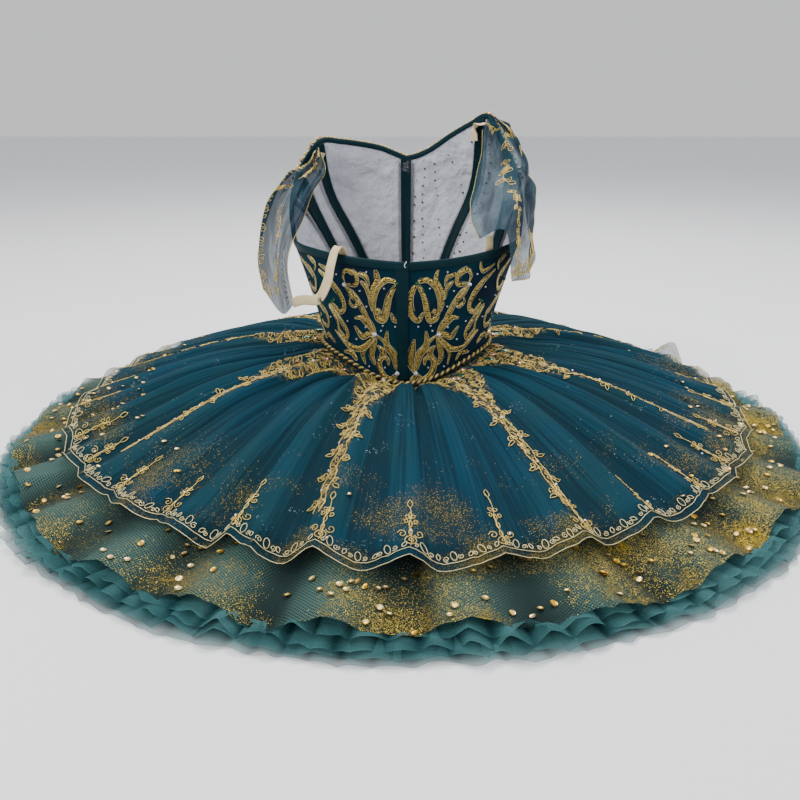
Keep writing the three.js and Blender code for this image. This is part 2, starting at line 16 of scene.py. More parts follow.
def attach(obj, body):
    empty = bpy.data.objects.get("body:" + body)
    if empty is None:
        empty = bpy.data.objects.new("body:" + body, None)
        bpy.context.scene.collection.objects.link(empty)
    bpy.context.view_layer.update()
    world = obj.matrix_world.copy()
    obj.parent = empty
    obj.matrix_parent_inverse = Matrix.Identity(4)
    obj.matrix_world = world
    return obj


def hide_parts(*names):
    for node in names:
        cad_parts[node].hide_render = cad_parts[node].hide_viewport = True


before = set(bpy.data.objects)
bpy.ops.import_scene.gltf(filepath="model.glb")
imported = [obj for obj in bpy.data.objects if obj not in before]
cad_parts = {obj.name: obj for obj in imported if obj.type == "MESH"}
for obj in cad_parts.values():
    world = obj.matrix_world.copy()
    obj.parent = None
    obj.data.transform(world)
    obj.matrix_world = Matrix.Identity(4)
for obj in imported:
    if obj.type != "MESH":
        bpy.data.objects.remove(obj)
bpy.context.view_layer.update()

# %% [markdown]
# The camera stands behind the garment at a grown person's working distance and looks down on the table.
# A lens as long as its sensor is wide gives the strong perspective in which the near hem looks so large.
# Soft light from large lamps and a pale surrounding keeps the shadows between the folds open.

# %% Camera, floor and light
camera_data = bpy.data.cameras.new("camera")
camera_data.lens = 36
camera_data.sensor_width = 36
camera = bpy.data.objects.new("camera", camera_data)
camera.location = (-0.008, -1.018, 0.405)
camera.rotation_euler = (math.radians(70), 0, 0)
bpy.context.scene.collection.objects.link(camera)
bpy.context.scene.camera = camera


def lamp(name, place, target, size, power, colour):
    """A square area lamp that looks at a target."""
    data = bpy.data.lights.new(name, "AREA")
    data.size = size
    data.energy = power
    data.color = colour
    obj = bpy.data.objects.new(name, data)
    obj.location = place
    obj.rotation_euler = (Vector(target) - Vector(place)).to_track_quat("-Z", "Y").to_euler()
    bpy.context.scene.collection.objects.link(obj)


lamp("window_lamp", (-1.5, -1.2, 2.2), (0, 0, 0.1), 1.3, 62, (1.0, 0.98, 0.95))
lamp("ceiling_lamp", (0.3, 0.9, 2.6), (0, 0, 0.1), 1.5, 74, (1.0, 1.0, 1.0))
lamp("side_lamp", (2.1, -0.6, 1.3), (0, 0, 0.15), 1.0, 16, (0.93, 0.97, 1.0))

world = bpy.data.worlds.new("pale_room")
world.use_nodes = True
world.node_tree.nodes["Background"].inputs["Color"].default_value = (0.93, 0.94, 0.96, 1)
world.node_tree.nodes["Background"].inputs["Strength"].default_value = 0.8
bpy.context.scene.world = world

# %% [markdown]
# Every finish is a small tree of nodes round one Principled shader. Two helpers keep each tree short to read:
# one makes a material with its plain values, the other adds a node and links what goes into it.

# %% Material helpers
def finish_named(name, colour, roughness, gloss=0.5, **values):
    """A material, its node tree and its shader. Plain values sit on the shader's own sockets."""
    made = bpy.data.materials.new(name)
    made.use_nodes = True
    shader = made.node_tree.nodes["Principled BSDF"]
    shader.inputs["Base Color"].default_value = (*colour, 1)
    shader.inputs["Roughness"].default_value = roughness
    shader.inputs["Specular IOR Level"].default_value = gloss
    for key, value in values.items():
        shader.inputs[key.replace("_", " ")].default_value = value
    return made, made.node_tree, shader


def node(tree, kind, inputs=None, **settings):
    """A new node, with its settings, and its inputs given as values or as sockets to link from."""
    made = tree.nodes.new(kind)
    for key, value in settings.items():
        setattr(made, key, value)
    for socket, source in (inputs or {}).items():
        if isinstance(source, bpy.types.NodeSocket):
            tree.links.new(source, made.inputs[socket])
        else:
            made.inputs[socket].default_value = source
    return made


def object_place(tree):
    return node(tree, "ShaderNodeTexCoord").outputs["Object"]


def noise(tree, scale, detail=3.0, place=None):
    made = node(tree, "ShaderNodeTexNoise", {"Scale": scale, "Detail": detail})
    tree.links.new(place or object_place(tree), made.inputs["Vector"])
    return made.outputs["Fac"]


def cells(tree, scale):
    return node(tree, "ShaderNodeTexVoronoi", {"Scale": scale, "Vector": object_place(tree)}).outputs["Distance"]


# A socket knows the tree that it is in, so what follows needs only the sockets.
def ramp(source, low, high, low_value=0.0, high_value=1.0):
    """A smooth step of a number from low to high."""
    inputs = {"Value": source, "From Min": low, "From Max": high, "To Min": low_value, "To Max": high_value}
    return node(source.id_data, "ShaderNodeMapRange", inputs, interpolation_type="SMOOTHSTEP").outputs["Result"]


def math_of(operation, first, second):
    return node(first.id_data, "ShaderNodeMath", {0: first, 1: second}, operation=operation).outputs[0]


def times(first, second):
    return math_of("MULTIPLY", first, second)


def plus(first, second):
    return math_of("ADD", first, second)


def highest(first, second):
    return math_of("MAXIMUM", first, second)


def blend_colour(factor, first, second):
    tree = factor.id_data
    made = node(tree, "ShaderNodeMix", {"Factor": factor}, data_type="RGBA")
    for socket, source in ((6, first), (7, second)):
        if isinstance(source, bpy.types.NodeSocket):
            tree.links.new(source, made.inputs[socket])
        else:
            made.inputs[socket].default_value = (*source, 1)
    return made.outputs[2]


def feed(shader, socket, source):
    source.id_data.links.new(source, shader.inputs[socket])


def bump(shader, height, strength, distance):
    made = node(height.id_data, "ShaderNodeBump", {"Height": height, "Strength": strength, "Distance": distance})
    feed(shader, "Normal", made.outputs["Normal"])


def colour_by(shader, factor, first, second):
    feed(shader, "Base Color", blend_colour(factor, first, second))


# %% [markdown]
# A stage velvet is nearly black where it is seen square on, and a little bluer where its nap catches light.
# Sheen gives that edge, and a fine noise gives the nap. The tape of binding and placket is a plainer satin.
# The lining is pale and matte, with the small creases of cloth that has been worn damp.

# %% Velvet, tape and lining
velvet, tree, shader = finish_named(
    "velvet", (0.003, 0.012, 0.022), 0.8, 0.1,
    Sheen_Weight=0.05, Sheen_Roughness=0.35, Sheen_Tint=(0.06, 0.3, 0.4, 1))
colour_by(shader, ramp(noise(tree, 14), 0.3, 0.7), (0.002, 0.01, 0.024), (0.0025, 0.028, 0.044))
bump(shader, noise(tree, 1400, 2), 0.35, 0.0004)

tape, tree, shader = finish_named("tape", (0.002, 0.018, 0.026), 0.55, 0.1, Sheen_Weight=0.01)
colour_by(shader, noise(tree, 60), (0.0015, 0.014, 0.02), (0.003, 0.026, 0.034))
bump(shader, noise(tree, 900, 2), 0.25, 0.0003)

lining_cloth, tree, shader = finish_named("lining_cloth", (0.6, 0.6, 0.66), 0.7, 0.2, Sheen_Weight=0.03)
colour_by(shader, noise(tree, 35, 5), (0.42, 0.43, 0.5), (0.82, 0.82, 0.88))
creases = plus(noise(tree, 60, 6), times(noise(tree, 1200, 2), 0.08))
bump(shader, creases, 0.8, 0.009)

overlock, tree, shader = finish_named("overlock", (0.3, 0.3, 0.34), 0.7)
colour_by(shader, noise(tree, 300), (0.05, 0.055, 0.07), (0.3, 0.3, 0.34))

knit, tree, shader = finish_named("knit", (0.01, 0.07, 0.09), 0.8, 0.15, Sheen_Weight=0.05)
colour_by(shader, noise(tree, 40), (0.006, 0.05, 0.065), (0.015, 0.09, 0.11))
ribs = node(tree, "ShaderNodeTexWave", {"Scale": 260.0, "Distortion": 0.6, "Vector": object_place(tree)})
bump(shader, ribs.outputs["Fac"], 0.3, 0.0006)

elastic_weave, tree, shader = finish_named("elastic_weave", (0.7, 0.58, 0.34), 0.62, 0.3, Sheen_Weight=0.05)
colour_by(shader, noise(tree, 90), (0.6, 0.46, 0.24), (0.76, 0.64, 0.4))
weave = {"Scale": 420.0, "Vector": object_place(tree)}
bump(shader, node(tree, "ShaderNodeTexWave", weave, bands_direction="DIAGONAL").outputs["Fac"], 0.3, 0.0004)

# %% [markdown]
# Gold comes in four kinds here: a pale corded thread that outlines the lace, chains of tiny sequins that fill
# the scrolls, loose cup sequins, and foil that was pressed on the net and has cracked into flakes.
# Each is metal with its own grain, so cells of noise tilt the surface and make it twinkle.

# %% Gold threads, sequins and stones
cord_gold, tree, shader = finish_named("cord_gold", (0.4, 0.29, 0.09), 0.36, Metallic=0.7)
colour_by(shader, noise(tree, 160), (0.36, 0.24, 0.045), (0.9, 0.7, 0.24))
bump(shader, noise(tree, 2200, 1), 0.8, 0.0006)

pale_cord, tree, shader = finish_named("pale_cord", (0.5, 0.42, 0.2), 0.42, Metallic=0.5)
colour_by(shader, noise(tree, 90), (0.42, 0.34, 0.14), (0.85, 0.76, 0.44))
bump(shader, noise(tree, 2200, 1), 0.6, 0.0004)

black_cord, tree, shader = finish_named("black_cord", (0.004, 0.006, 0.008), 0.4, Sheen_Weight=0.1)
bump(shader, noise(tree, 1500, 2), 0.4, 0.0004)

sequin_fill, tree, shader = finish_named("sequin_fill", (0.5, 0.34, 0.08), 0.26, Metallic=0.95)
grain = cells(tree, 560)
tint = blend_colour(noise(tree, 300, 1), (0.3, 0.2, 0.04), (0.72, 0.56, 0.18))
# Darker gold where the cells meet, away from their centres.
cell_edges = ramp(grain, 0.55, 0.8)
feed(shader, "Base Color", blend_colour(cell_edges, tint, (0.13, 0.085, 0.025)))
bump(shader, grain, 0.9, 0.0012)

cup_sequin, tree, shader = finish_named("cup_sequin", (0.8, 0.62, 0.26), 0.36, Metallic=1.0)
colour_by(shader, ramp(noise(tree, 70, 1), 0.35, 0.65), (0.55, 0.33, 0.04), (0.8, 0.63, 0.3))

stone, tree, shader = finish_named("stone", (0.7, 0.7, 0.75), 0.04, Metallic=0.5, Coat_Weight=1.0)
colour_by(shader, noise(tree, 900, 1), (0.55, 0.45, 0.7), (0.95, 0.98, 1.0))

green_stone, tree, shader = finish_named(
    "green_stone", (0.0, 0.14, 0.06), 0.06, Metallic=0.3, Coat_Weight=1.0)
colour_by(shader, noise(tree, 900, 1), (0.0, 0.03, 0.015), (0.005, 0.16, 0.07))

bronze_stone, tree, shader = finish_named(
    "bronze_stone", (0.5, 0.26, 0.16), 0.08, Metallic=0.8, Coat_Weight=0.8)
colour_by(shader, noise(tree, 260, 1), (0.34, 0.14, 0.06), (0.8, 0.5, 0.36))

# %% [markdown]
# Net shows its layers through each other. Where many lie together it is deep teal, and at the free edge,
# where one layer is left, the table shows through it. So its alpha falls near the edge. Values stored on the
# corners of a sheet tell where that edge is, where lace and gilding lie, and where folds crest, which sets a
# painted light on the crests and a painted shade in the troughs.

# %% Net, gilding and organza
def stored(tree, name):
    return node(tree, "ShaderNodeAttribute", attribute_name=name).outputs["Fac"]


def in_cut(tree, scale, detail=2.0):
    """Noise in the flat cut, stretched by a scale along each of its two directions."""
    flat = node(tree, "ShaderNodeUVMap", uv_map="cut").outputs["UV"]
    place = node(tree, "ShaderNodeMapping", {"Vector": flat, "Scale": (*scale, 1.0)})
    return noise(tree, 1.0, detail, place.outputs["Vector"])


def selvedge(tree, width):
    """1 along the hem of a ring of net, in a band whose width is a share of the cut."""
    flat = node(tree, "ShaderNodeUVMap", uv_map="cut").outputs["UV"]
    along = node(tree, "ShaderNodeSeparateXYZ", {"Vector": flat}).outputs["Y"]
    return ramp(along, 1 - 1.6 * width, 1 - width)


def threads(tree, scale, turn):
    """One set of parallel threads of a net, turned about the upright axis."""
    place = node(tree, "ShaderNodeMapping", {"Vector": object_place(tree), "Rotation": (0, 0, turn)})
    wave = node(tree, "ShaderNodeTexWave", {"Scale": scale, "Vector": place.outputs["Vector"]})
    return ramp(wave.outputs["Fac"], 0.6, 0.9)


def glitter(tree, mask, density, scale):
    """Small bright flakes where the mask is high: random cells, thinned by the mask."""
    picks = node(tree, "ShaderNodeTexVoronoi", {"Scale": scale, "Vector": object_place(tree)})
    lucky = node(tree, "ShaderNodeSeparateColor", {"Color": picks.outputs["Color"]}).outputs["Red"]
    enough = math_of("LESS_THAN", lucky, times(mask, density))
    return times(enough, ramp(picks.outputs["Distance"], 0.65, 0.35))


top_net, tree, shader = finish_named(
    "top_net", (0.004, 0.03, 0.055), 0.75, 0.06,
    Sheen_Weight=0.02, Sheen_Roughness=0.5, Sheen_Tint=(0.2, 0.6, 0.8, 1))
mottled = ramp(noise(tree, 9, 4), 0.35, 0.7)
# Painted light and shade of the folds: a lighter teal on the crests and a darker one in the troughs, mixed by the
# stored crest value with streaks of the net added.
crest_light = blend_colour(mottled, (0.0055, 0.029, 0.038), (0.006, 0.031, 0.056))
trough_shade = blend_colour(mottled, (0.0018, 0.0095, 0.014), (0.002, 0.0115, 0.022))
streaks = in_cut(tree, (640.0, 2.4), 3)
lit = plus(stored(tree, "crest_light"), ramp(streaks, 0.32, 0.68, -0.4, 0.4))
depth_shading = blend_colour(ramp(lit, 0.0, 1.0), trough_shade, crest_light)
mesh_lines = highest(threads(tree, 520.0, 0.5), threads(tree, 520.0, -0.55))
fine = blend_colour(times(mesh_lines, 0.22), depth_shading, (0.01, 0.08, 0.12))
patches = ramp(noise(tree, 13, 5), 0.44, 0.68)
dusty = times(stored(tree, "glitter"), patches)
flakes = glitter(tree, dusty, 0.26, 1800.0)
clusters = ramp(noise(tree, 30, 3), 0.6, 0.72)
specks = glitter(tree, times(clusters, ramp(noise(tree, 300, 2), 0.5, 0.65)), 0.3, 1100.0)
dusted = blend_colour(times(specks, 0.7), fine, (0.3, 0.42, 0.45))
hazed = blend_colour(times(dusty, 0.6), dusted, (0.03, 0.036, 0.012))
gilded = blend_colour(flakes, hazed, (0.62, 0.42, 0.06))
lace_ground = times(stored(tree, "lace"), ramp(noise(tree, 260, 2), 0.47, 0.6))
laced = blend_colour(times(lace_ground, 0.7), gilded, (0.3, 0.21, 0.06))
feed(shader, "Base Color", laced)
metal = highest(flakes, times(lace_ground, 0.5))
feed(shader, "Metallic", metal)
feed(shader, "Alpha", ramp(stored(tree, "edge"), 0.0, 1.0, 1.0, 0.58))
layers = plus(mesh_lines, times(streaks, 6))
bump(shader, plus(layers, times(lace_ground, 3)), 0.35, 0.0006)

gold_net, tree, shader = finish_named("gold_net", (0.2, 0.15, 0.04), 0.4, 0.15, Sheen_Weight=0.02)
net_lines = highest(threads(tree, 125.0, 0.78), threads(tree, 125.0, -0.72))
teal = blend_colour(net_lines, (0.006, 0.034, 0.034), (0.07, 0.135, 0.115))
# Painted shade: the net darkens to near black in the troughs of its folds, by the stored crest value.
shaded = blend_colour(stored(tree, "crest_light"), (0.002, 0.012, 0.012), teal)
blotches = ramp(noise(tree, 7, 7), 0.43, 0.66)
foil = times(stored(tree, "glitter"), blotches)
flakes = glitter(tree, foil, 0.42, 1500.0)
leaf_patch = times(ramp(noise(tree, 19, 8), 0.51, 0.62), ramp(noise(tree, 380, 3), 0.43, 0.58))
leaf = times(foil, leaf_patch)
hazed = blend_colour(times(foil, 0.4), shaded, (0.03, 0.028, 0.006))
leafed = blend_colour(leaf, hazed, (0.34, 0.22, 0.004))
gilded = blend_colour(flakes, leafed, (0.7, 0.5, 0.06))
feed(shader, "Base Color", gilded)
feed(shader, "Metallic", highest(flakes, times(leaf, 0.9)))
feed(shader, "Roughness", ramp(highest(flakes, leaf), 0.0, 1.0, 0.7, 0.28))
solid_part = highest(net_lines, foil)
edge_fade = ramp(stored(tree, "edge"), 0.0, 1.0, 0.93, 0.45)
feed(shader, "Alpha", highest(edge_fade, times(solid_part, 0.9)))
bump(shader, plus(net_lines, cells(tree, 900)), 0.6, 0.0008)

pale_net, tree, shader = finish_named(
    "pale_net", (0.015, 0.1, 0.12), 0.7, 0.1, Sheen_Weight=0.03, Sheen_Tint=(0.4, 0.75, 0.8, 1))
mottled = ramp(noise(tree, 14, 4), 0.3, 0.7)
# Painted light and shade of the tubes: the crest colour on their tops, a dark teal in the valleys between them.
crest_light = blend_colour(mottled, (0.03, 0.11, 0.118), (0.06, 0.165, 0.17))
feed(shader, "Base Color", blend_colour(stored(tree, "crest_light"), (0.006, 0.042, 0.048), crest_light))
fine_lines = highest(threads(tree, 260.0, 0.78), threads(tree, 260.0, -0.72))
faded = ramp(stored(tree, "edge"), 0.0, 1.0, 0.82, 0.42)
netted = plus(faded, times(fine_lines, 0.14))
feed(shader, "Alpha", highest(netted, times(selvedge(tree, 0.0028), 0.72)))
bump(shader, fine_lines, 0.2, 0.0004)

organza, tree, shader = finish_named(
    "organza", (0.01, 0.05, 0.08), 0.45, 0.15,
    Sheen_Weight=0.03, Sheen_Roughness=0.3, Sheen_Tint=(0.5, 0.8, 0.9, 1))
wisps = in_cut(tree, (15.0, 9.0), 5)
lit = plus(stored(tree, "crest_light"), ramp(wisps, 0.3, 0.7, -0.25, 0.25))
# Painted light and shade of the crumples: darker in their troughs, lighter on their crests, with wisps of the weave
# added.
colour_by(shader, ramp(lit, 0.0, 1.0), (0.0025, 0.018, 0.034), (0.011, 0.054, 0.08))
sheer = ramp(lit, 0.0, 1.0, 0.88, 0.7)
crossed = plus(sheer, times(threads(tree, 420.0, 0.6), 0.08))
feed(shader, "Alpha", crossed)
bump(shader, plus(noise(tree, 300, 4), times(wisps, 4)), 0.35, 0.0012)
print("materials:", len(bpy.data.materials))

# %% [markdown]
# The bodice is worked out from the same few cross-sections as its solid, so the finer cloth lies on it.
# A table row holds a height in millimetres, the half width, and the depth behind and before the side line.

# %% Measures of the bodice and skirt
MM = 0.001
BODICE = {
    "z": (70, 100, 130, 170, 210, 250, 290, 330, 370, 410),
    "half": (104, 103, 106, 116, 128, 140, 148, 148, 138, 128),
    "back": (90, 88, 89, 96, 103, 109, 112, 112, 110, 108),
    "front": (92, 90, 92, 99, 108, 116, 122, 122, 116, 110),
}
TOP_EDGE = {
    "angle": (-90, -60, -30, -10, 0, 8, 16, 24, 32, 47, 61, 73, 82, 90),
    "right": (237, 241, 248, 253, 262, 292, 331, 366, 395, 385, 370, 354, 345, 341),
    "left": (237, 241, 247, 251, 260, 290, 319, 346, 365, 364, 360, 355, 348, 341),
}
PLATE = {
    "r": (105, 130, 165, 210, 265, 325, 380, 434),
    "z": (105, 110, 112, 109, 98.5, 80.5, 61.5, 43),
    "fold": (0, 0.25, 0.5, 0.65, 0.75, 0.85, 0.95, 1),
}
GOLD = {"r": (105, 210, 325, 425, 488), "z": (92, 95, 65, 30, 19.5), "fold": (0, 0.2, 0.4, 0.62, 1)}
UPPER = {"r": (105, 210, 325, 425, 500), "z": (52, 58, 38, 16, 9.2), "fold": (0, 0.15, 0.25, 0.35, 0.4)}
LOWER = {"r": (105, 160, 230, 462, 506), "z": (30, 13, 0.9, 0.9, 0.9), "fold": (0, 0, 0, 0, 1)}
BRIEF = {
    "z": (0, 10, 32, 60, 80, 100, 130),
    "half": (92, 109, 114, 108, 102.4, 101.4, 104.4),
    "depth": (77, 94, 99, 93.5, 88, 86.4, 87.4),
}
SIDE_LOW, DIP, SIDE_SEAM = 118, 33, 8
SCALLOPS = 32


def read(table, key, column, x):
    """One column of a table at x, on a smooth curve through its rows."""
    keys, values = table[key], table[column]
    last = len(keys) - 1
    i = 0
    while i < last - 1 and keys[i + 1] < x:
        i += 1
    span = keys[i + 1] - keys[i]
    t = min(max((x - keys[i]) / span, 0), 1)

    def slope(j):
        low, high = max(j - 1, 0), min(j + 1, last)
        return span * (values[high] - values[low]) / (keys[high] - keys[low])

    keep = 2 * t**3 - 3 * t**2 + 1
    bend = slope(i) * (t**3 - 2 * t**2 + t) + slope(i + 1) * (t**3 - t**2)
    return values[i] * keep + values[i + 1] * (1 - keep) + bend


def smooth(x, low, high):
    t = min(max((x - low) / (high - low), 0), 1)
    return t * t * (3 - 2 * t)


def oval(half, depth, degrees):
    turn = math.radians(degrees)
    return 1 / math.hypot(math.cos(turn) / half, math.sin(turn) / depth)


def polar(radius, degrees, z):
    turn = math.radians(degrees)
    return Vector((radius * math.cos(turn), radius * math.sin(turn), z)) * MM


def turn_from(degrees, centre):
    """How far an angle is turned from a centre, from -180 to 180 degrees."""
    return (degrees - centre + 180) % 360 - 180


def side_angle(degrees):
    turn = (degrees + 90) % 360 - 90
    return ("right", turn) if turn <= 90 else ("left", 180 - turn)


def top_edge(degrees):
    side, angle = side_angle(degrees)
    return read(TOP_EDGE, "angle", side, angle)


def low_edge(degrees):
    return SIDE_LOW - DIP * abs(math.sin(math.radians(degrees))) ** 3


def bodice_radius(degrees, z):
    depth = "back" if math.sin(math.radians(degrees)) < 0 else "front"
    angle = side_angle(degrees)[1]
    cup = 11 * math.exp(-(((angle - 56) / 19) ** 2)) * math.exp(-(((z - 300) / 46) ** 2))
    return oval(read(BODICE, "z", "half", z), read(BODICE, "z", depth, z), degrees) + cup


def on_bodice(degrees, share, lift):
    """A point on the bodice: an angle, a share of its height there, and a distance out of its middle surface."""
    low, high = low_edge(degrees), top_edge(degrees)
    z = low + (high - low) * share
    return polar(bodice_radius(degrees, z) + lift, degrees, z)


# %% [markdown]
# A sheet of cloth starts as a flat grid whose corners know where they lie in the cut, from 0 to 1 each way.
# Moving each corner by a rule is the shortest way to a curved, pleated sheet that keeps an even weave.
# Solidify then gives the thick cloths their real thickness, while net stays a single surface.

# %% Helpers that make pieces
def mesh_of(name, bm):
    """Turns a finished bmesh into a mesh."""
    mesh = bpy.data.meshes.new(name)
    bm.to_mesh(mesh)
    bm.free()
    return mesh


def keep_piece(name, mesh, material, slot, nodes=(), faceted=False):
    """Puts a finished mesh in the scene as a piece of the object."""
    obj = bpy.data.objects.new(name, mesh)
    bpy.context.scene.collection.objects.link(obj)
    mesh.materials.append(material)
    mesh.polygons.foreach_set("use_smooth", [not faceted] * len(mesh.polygons))
    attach(obj, "root")
    if nodes:
        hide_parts(*nodes)
    return obj


grid_columns = {}


def cloth(name, columns, rows, place, material, slot, nodes=(),
          closed=False, thick=0.0, flip=False, marks=None):
    """A grid of columns by rows, each corner moved to place(u, v), with marks stored on the corners."""
    bm = bmesh.new()
    bm.loops.layers.uv.new("cut")
    stores = {key: bm.verts.layers.float.new(key) for key in (marks or {})}
    bmesh.ops.create_grid(bm, x_segments=columns, y_segments=rows, size=0.5, calc_uvs=True)
    for corner in bm.verts:
        u, v = corner.co.x + 0.5, corner.co.y + 0.5
        for key, store in stores.items():
            corner[store] = marks[key](u, v)
        corner.co = place(u, v)
    if closed:
        bmesh.ops.remove_doubles(bm, verts=bm.verts, dist=1e-6)
    if flip:
        bmesh.ops.reverse_faces(bm, faces=bm.faces)
    mesh = mesh_of(name, bm)
    obj = keep_piece(name, mesh, material, slot, nodes)
    if thick:
        wall = obj.modifiers.new("wall", "SOLIDIFY")
        wall.thickness = thick * MM
        wall.offset = 0
    grid_columns[name] = columns
    print(name, len(mesh.polygons), "faces")
    return obj


def flat_area(obj):
    """The cloth's own area in square metres, before it gets its thickness."""
    return sum(face.area for face in obj.data.polygons)


def run_of(line):
    return sum((after - before).length for before, after in zip(line, line[1:]))


def declare(obj, aslant=False):
    """Works out the cut of a sheet, as its longest row and column are along the cloth, and keeps nothing of it.

    Where the rows lie aslant, its width is its area over its length."""
    corners = [corner.co for corner in obj.data.vertices]
    row = grid_columns[obj.name] + 1
    across = max(run_of(corners[start:start + row]) for start in range(0, len(corners), row))
    along = max(run_of(corners[start::row]) for start in range(row))
    if aslant:
        across = flat_area(obj) / along
    width, length = sorted((round(across, 4), round(along, 4)))
    min(flat_area(obj), width * length)


def cords(name, lines, radius, material, slot="gold_trim", sides=0, nodes=()):
    """Cords along lines of points, as one joined mesh. A line is its points, and whether it is endless."""
    curve = bpy.data.curves.new(name, "CURVE")
    curve.dimensions = "3D"
    curve.bevel_depth = radius * MM
    curve.bevel_resolution = sides
    curve.use_fill_caps = True
    for line, endless in lines:
        spline = curve.splines.new("POLY")
        spline.points.add(len(line) - 1)
        spline.points.foreach_set("co", [value for point in line for value in (*point, 1)])
        spline.use_cyclic_u = endless
    shape = bpy.data.objects.new(name, curve)
    bpy.context.scene.collection.objects.link(shape)
    depsgraph = bpy.context.evaluated_depsgraph_get()
    mesh = bpy.data.meshes.new_from_object(shape.evaluated_get(depsgraph))
    bpy.data.objects.remove(shape)
    keep_piece(name, mesh, material, slot, nodes)
    print(name, len(mesh.polygons), "faces")


# %% [markdown]
# The bodice's cloth panels come next: the moulded front, the two backs and the front's pale lining.
# They are walls of the real thickness, with the same seams as the solids: 0.3 mm apart.

# %% Bodice panels
SEAM_TURN = 0.08
FRONT = (SEAM_TURN - SIDE_SEAM, 180 + SIDE_SEAM - SEAM_TURN)
BACK_RIGHT = (SEAM_TURN - 90, -SIDE_SEAM - SEAM_TURN)
BACK_LEFT = (180 + SIDE_SEAM + SEAM_TURN, 270 - SEAM_TURN)
CHANNELS = ((25, 18), (72, 37), (90, 90), (108, 150), (130, 165))
LINING_FOOT = 0.125
VELVET_THICK, LINING_THICK, TAPE_THICK, BINDING_THICK = 1.4, 0.7, 0.8, 0.5


def panel(name, ends, columns, rows, lift, material, slot, nodes, thick, low=0.0, high=1.0, ripple=None):
    def place(u, v):
        angle = ends[0] + (ends[1] - ends[0]) * u
        share = low + (high - low) * v
        return on_bodice(angle, share, lift + (ripple(angle, share) if ripple else 0))

    return cloth(name, columns, rows, place, material, slot, nodes, thick=thick)


def velvet_ripple(angle, share):
    """Velvet over bones is never quite smooth: shallow hollows between the bones."""
    return 0.35 * math.sin(math.radians(9 * angle)) * math.sin(4 * share + math.radians(2 * angle))


def lining_ripple(angle, share):
    """The lining puckers away from the velvet, but is held down at each bone channel."""
    z_share = (share - LINING_FOOT) / (1 - LINING_FOOT)
    nearest = min(abs(angle - foot - (top - foot) * z_share) for foot, top in CHANNELS)
    free = smooth(nearest, 5.2, 11)
    wave = math.sin(21 * share + math.radians(3.3 * angle)) + math.sin(9 * share - math.radians(7 * angle) + 1.7)
    crinkle = math.sin(47 * share + math.radians(11 * angle)) * math.sin(math.radians(16 * angle) - 13 * share)
    held = smooth(share, 0.13, 0.18) * (1 - smooth(share, 0.93, 0.985))
    return -free * held * (0.9 + 0.5 * wave + 0.45 * crinkle)


front = panel(
    "front_panel", FRONT, 140, 60, 0, velvet, "bodice_cloth", ["bodice_front"], VELVET_THICK)
backs = [
    panel(f"back_panel_{side}", ends, 70, 42, 0, velvet, "bodice_cloth", [f"bodice_back_{side}"],
          VELVET_THICK, ripple=velvet_ripple)
    for side, ends in (("right", BACK_RIGHT), ("left", BACK_LEFT))
]
lining = panel(
    "lining_panel", FRONT, 150, 68, -1.7, lining_cloth, "lining_cloth", ["lining_front"],
    LINING_THICK, low=LINING_FOOT, ripple=lining_ripple)
for piece in (front, *backs, lining):
    declare(piece)

# %% [markdown]
# Bones sit in narrow tapes that are stitched over the lining's seams. The placket is a straight tape that
# covers the hooks and eyes at the centre back, sewn to the wearer's left side and lapping over the right.

# %% Bone channels and placket
for index, (foot, top) in enumerate(CHANNELS, start=1):
    def place(u, v, foot=foot, top=top):
        angle = foot + (top - foot) * v + 6.6 * (u - 0.5)
        return on_bodice(angle, LINING_FOOT + 0.868 * v, -3.6 + 0.5 * math.cos(math.pi * (u - 0.5) * 2))

    nodes = [f"bone_channel_{index}"]
    channel = cloth(f"channel_tape_{index}", 8, 60, place, tape, "tape", nodes, thick=TAPE_THICK)
    declare(channel, aslant=True)

placket = panel("placket_tape", (-97, -89), 12, 60, 2.2, tape, "tape", ["placket"], 1.0, low=0.05, high=0.995)
declare(placket)

# %% [markdown]
# Binding is a strip folded over the raw edge: a leg down the outside, a soft roll on top, a leg inside.
# So it is drawn as one profile, given by its distance out of the cloth and its height over the edge.

# %% Bindings
FOLDED = {
    "t": (0, 0.2, 0.38, 0.5, 0.62, 0.8, 1),
    "out": (1.7, 2.0, 1.7, 0, -1.8, -2.7, -2.6),
    "up": (-6.5, -3, 1.8, 3.6, 1.8, -1, -3),
}


def edge_point(degrees, out, up):
    """A point beside the bodice's top edge: out of the cloth, and up, square to the edge."""
    z = top_edge(degrees)
    radius = bodice_radius(degrees, z)
    slope = math.atan2(top_edge(degrees + 1) - top_edge(degrees - 1), math.radians(2) * radius)
    angle = degrees - math.degrees(up * math.sin(slope) / radius)
    height = z + up * math.cos(slope)
    return polar(bodice_radius(angle, height) + out, angle, height)


def bind(name, ends, columns, nodes):
    def place(u, v):
        angle = ends[0] + (ends[1] - ends[0]) * u
        return edge_point(angle, read(FOLDED, "t", "out", v), read(FOLDED, "t", "up", v))

    obj = cloth(name, columns, 20, place, tape, "tape", nodes, thick=BINDING_THICK, flip=True)
    declare(obj)


bind("edge_binding_front", (FRONT[0] + 0.3, FRONT[1] - 0.3), 220, ["binding_front"])
bind("edge_binding_right", (-88.4, BACK_RIGHT[1] - 0.3), 90, ["binding_back_right"])
bind("edge_binding_left", (BACK_LEFT[0] + 0.3, 269.4), 90, ["binding_back_left"])

# %% [markdown]
# Two gold strands twist round each other where bodice and skirt meet. Each is a helix round the same path.
# Along the front's neckline runs a line of gilt beads with bronze stones, each a small faceted ball.

# %% Waist rope and neckline beads
def waist_path(degrees):
    z = low_edge(degrees) + 4.9
    return bodice_radius(degrees, z + 2.8) + 4.1, z


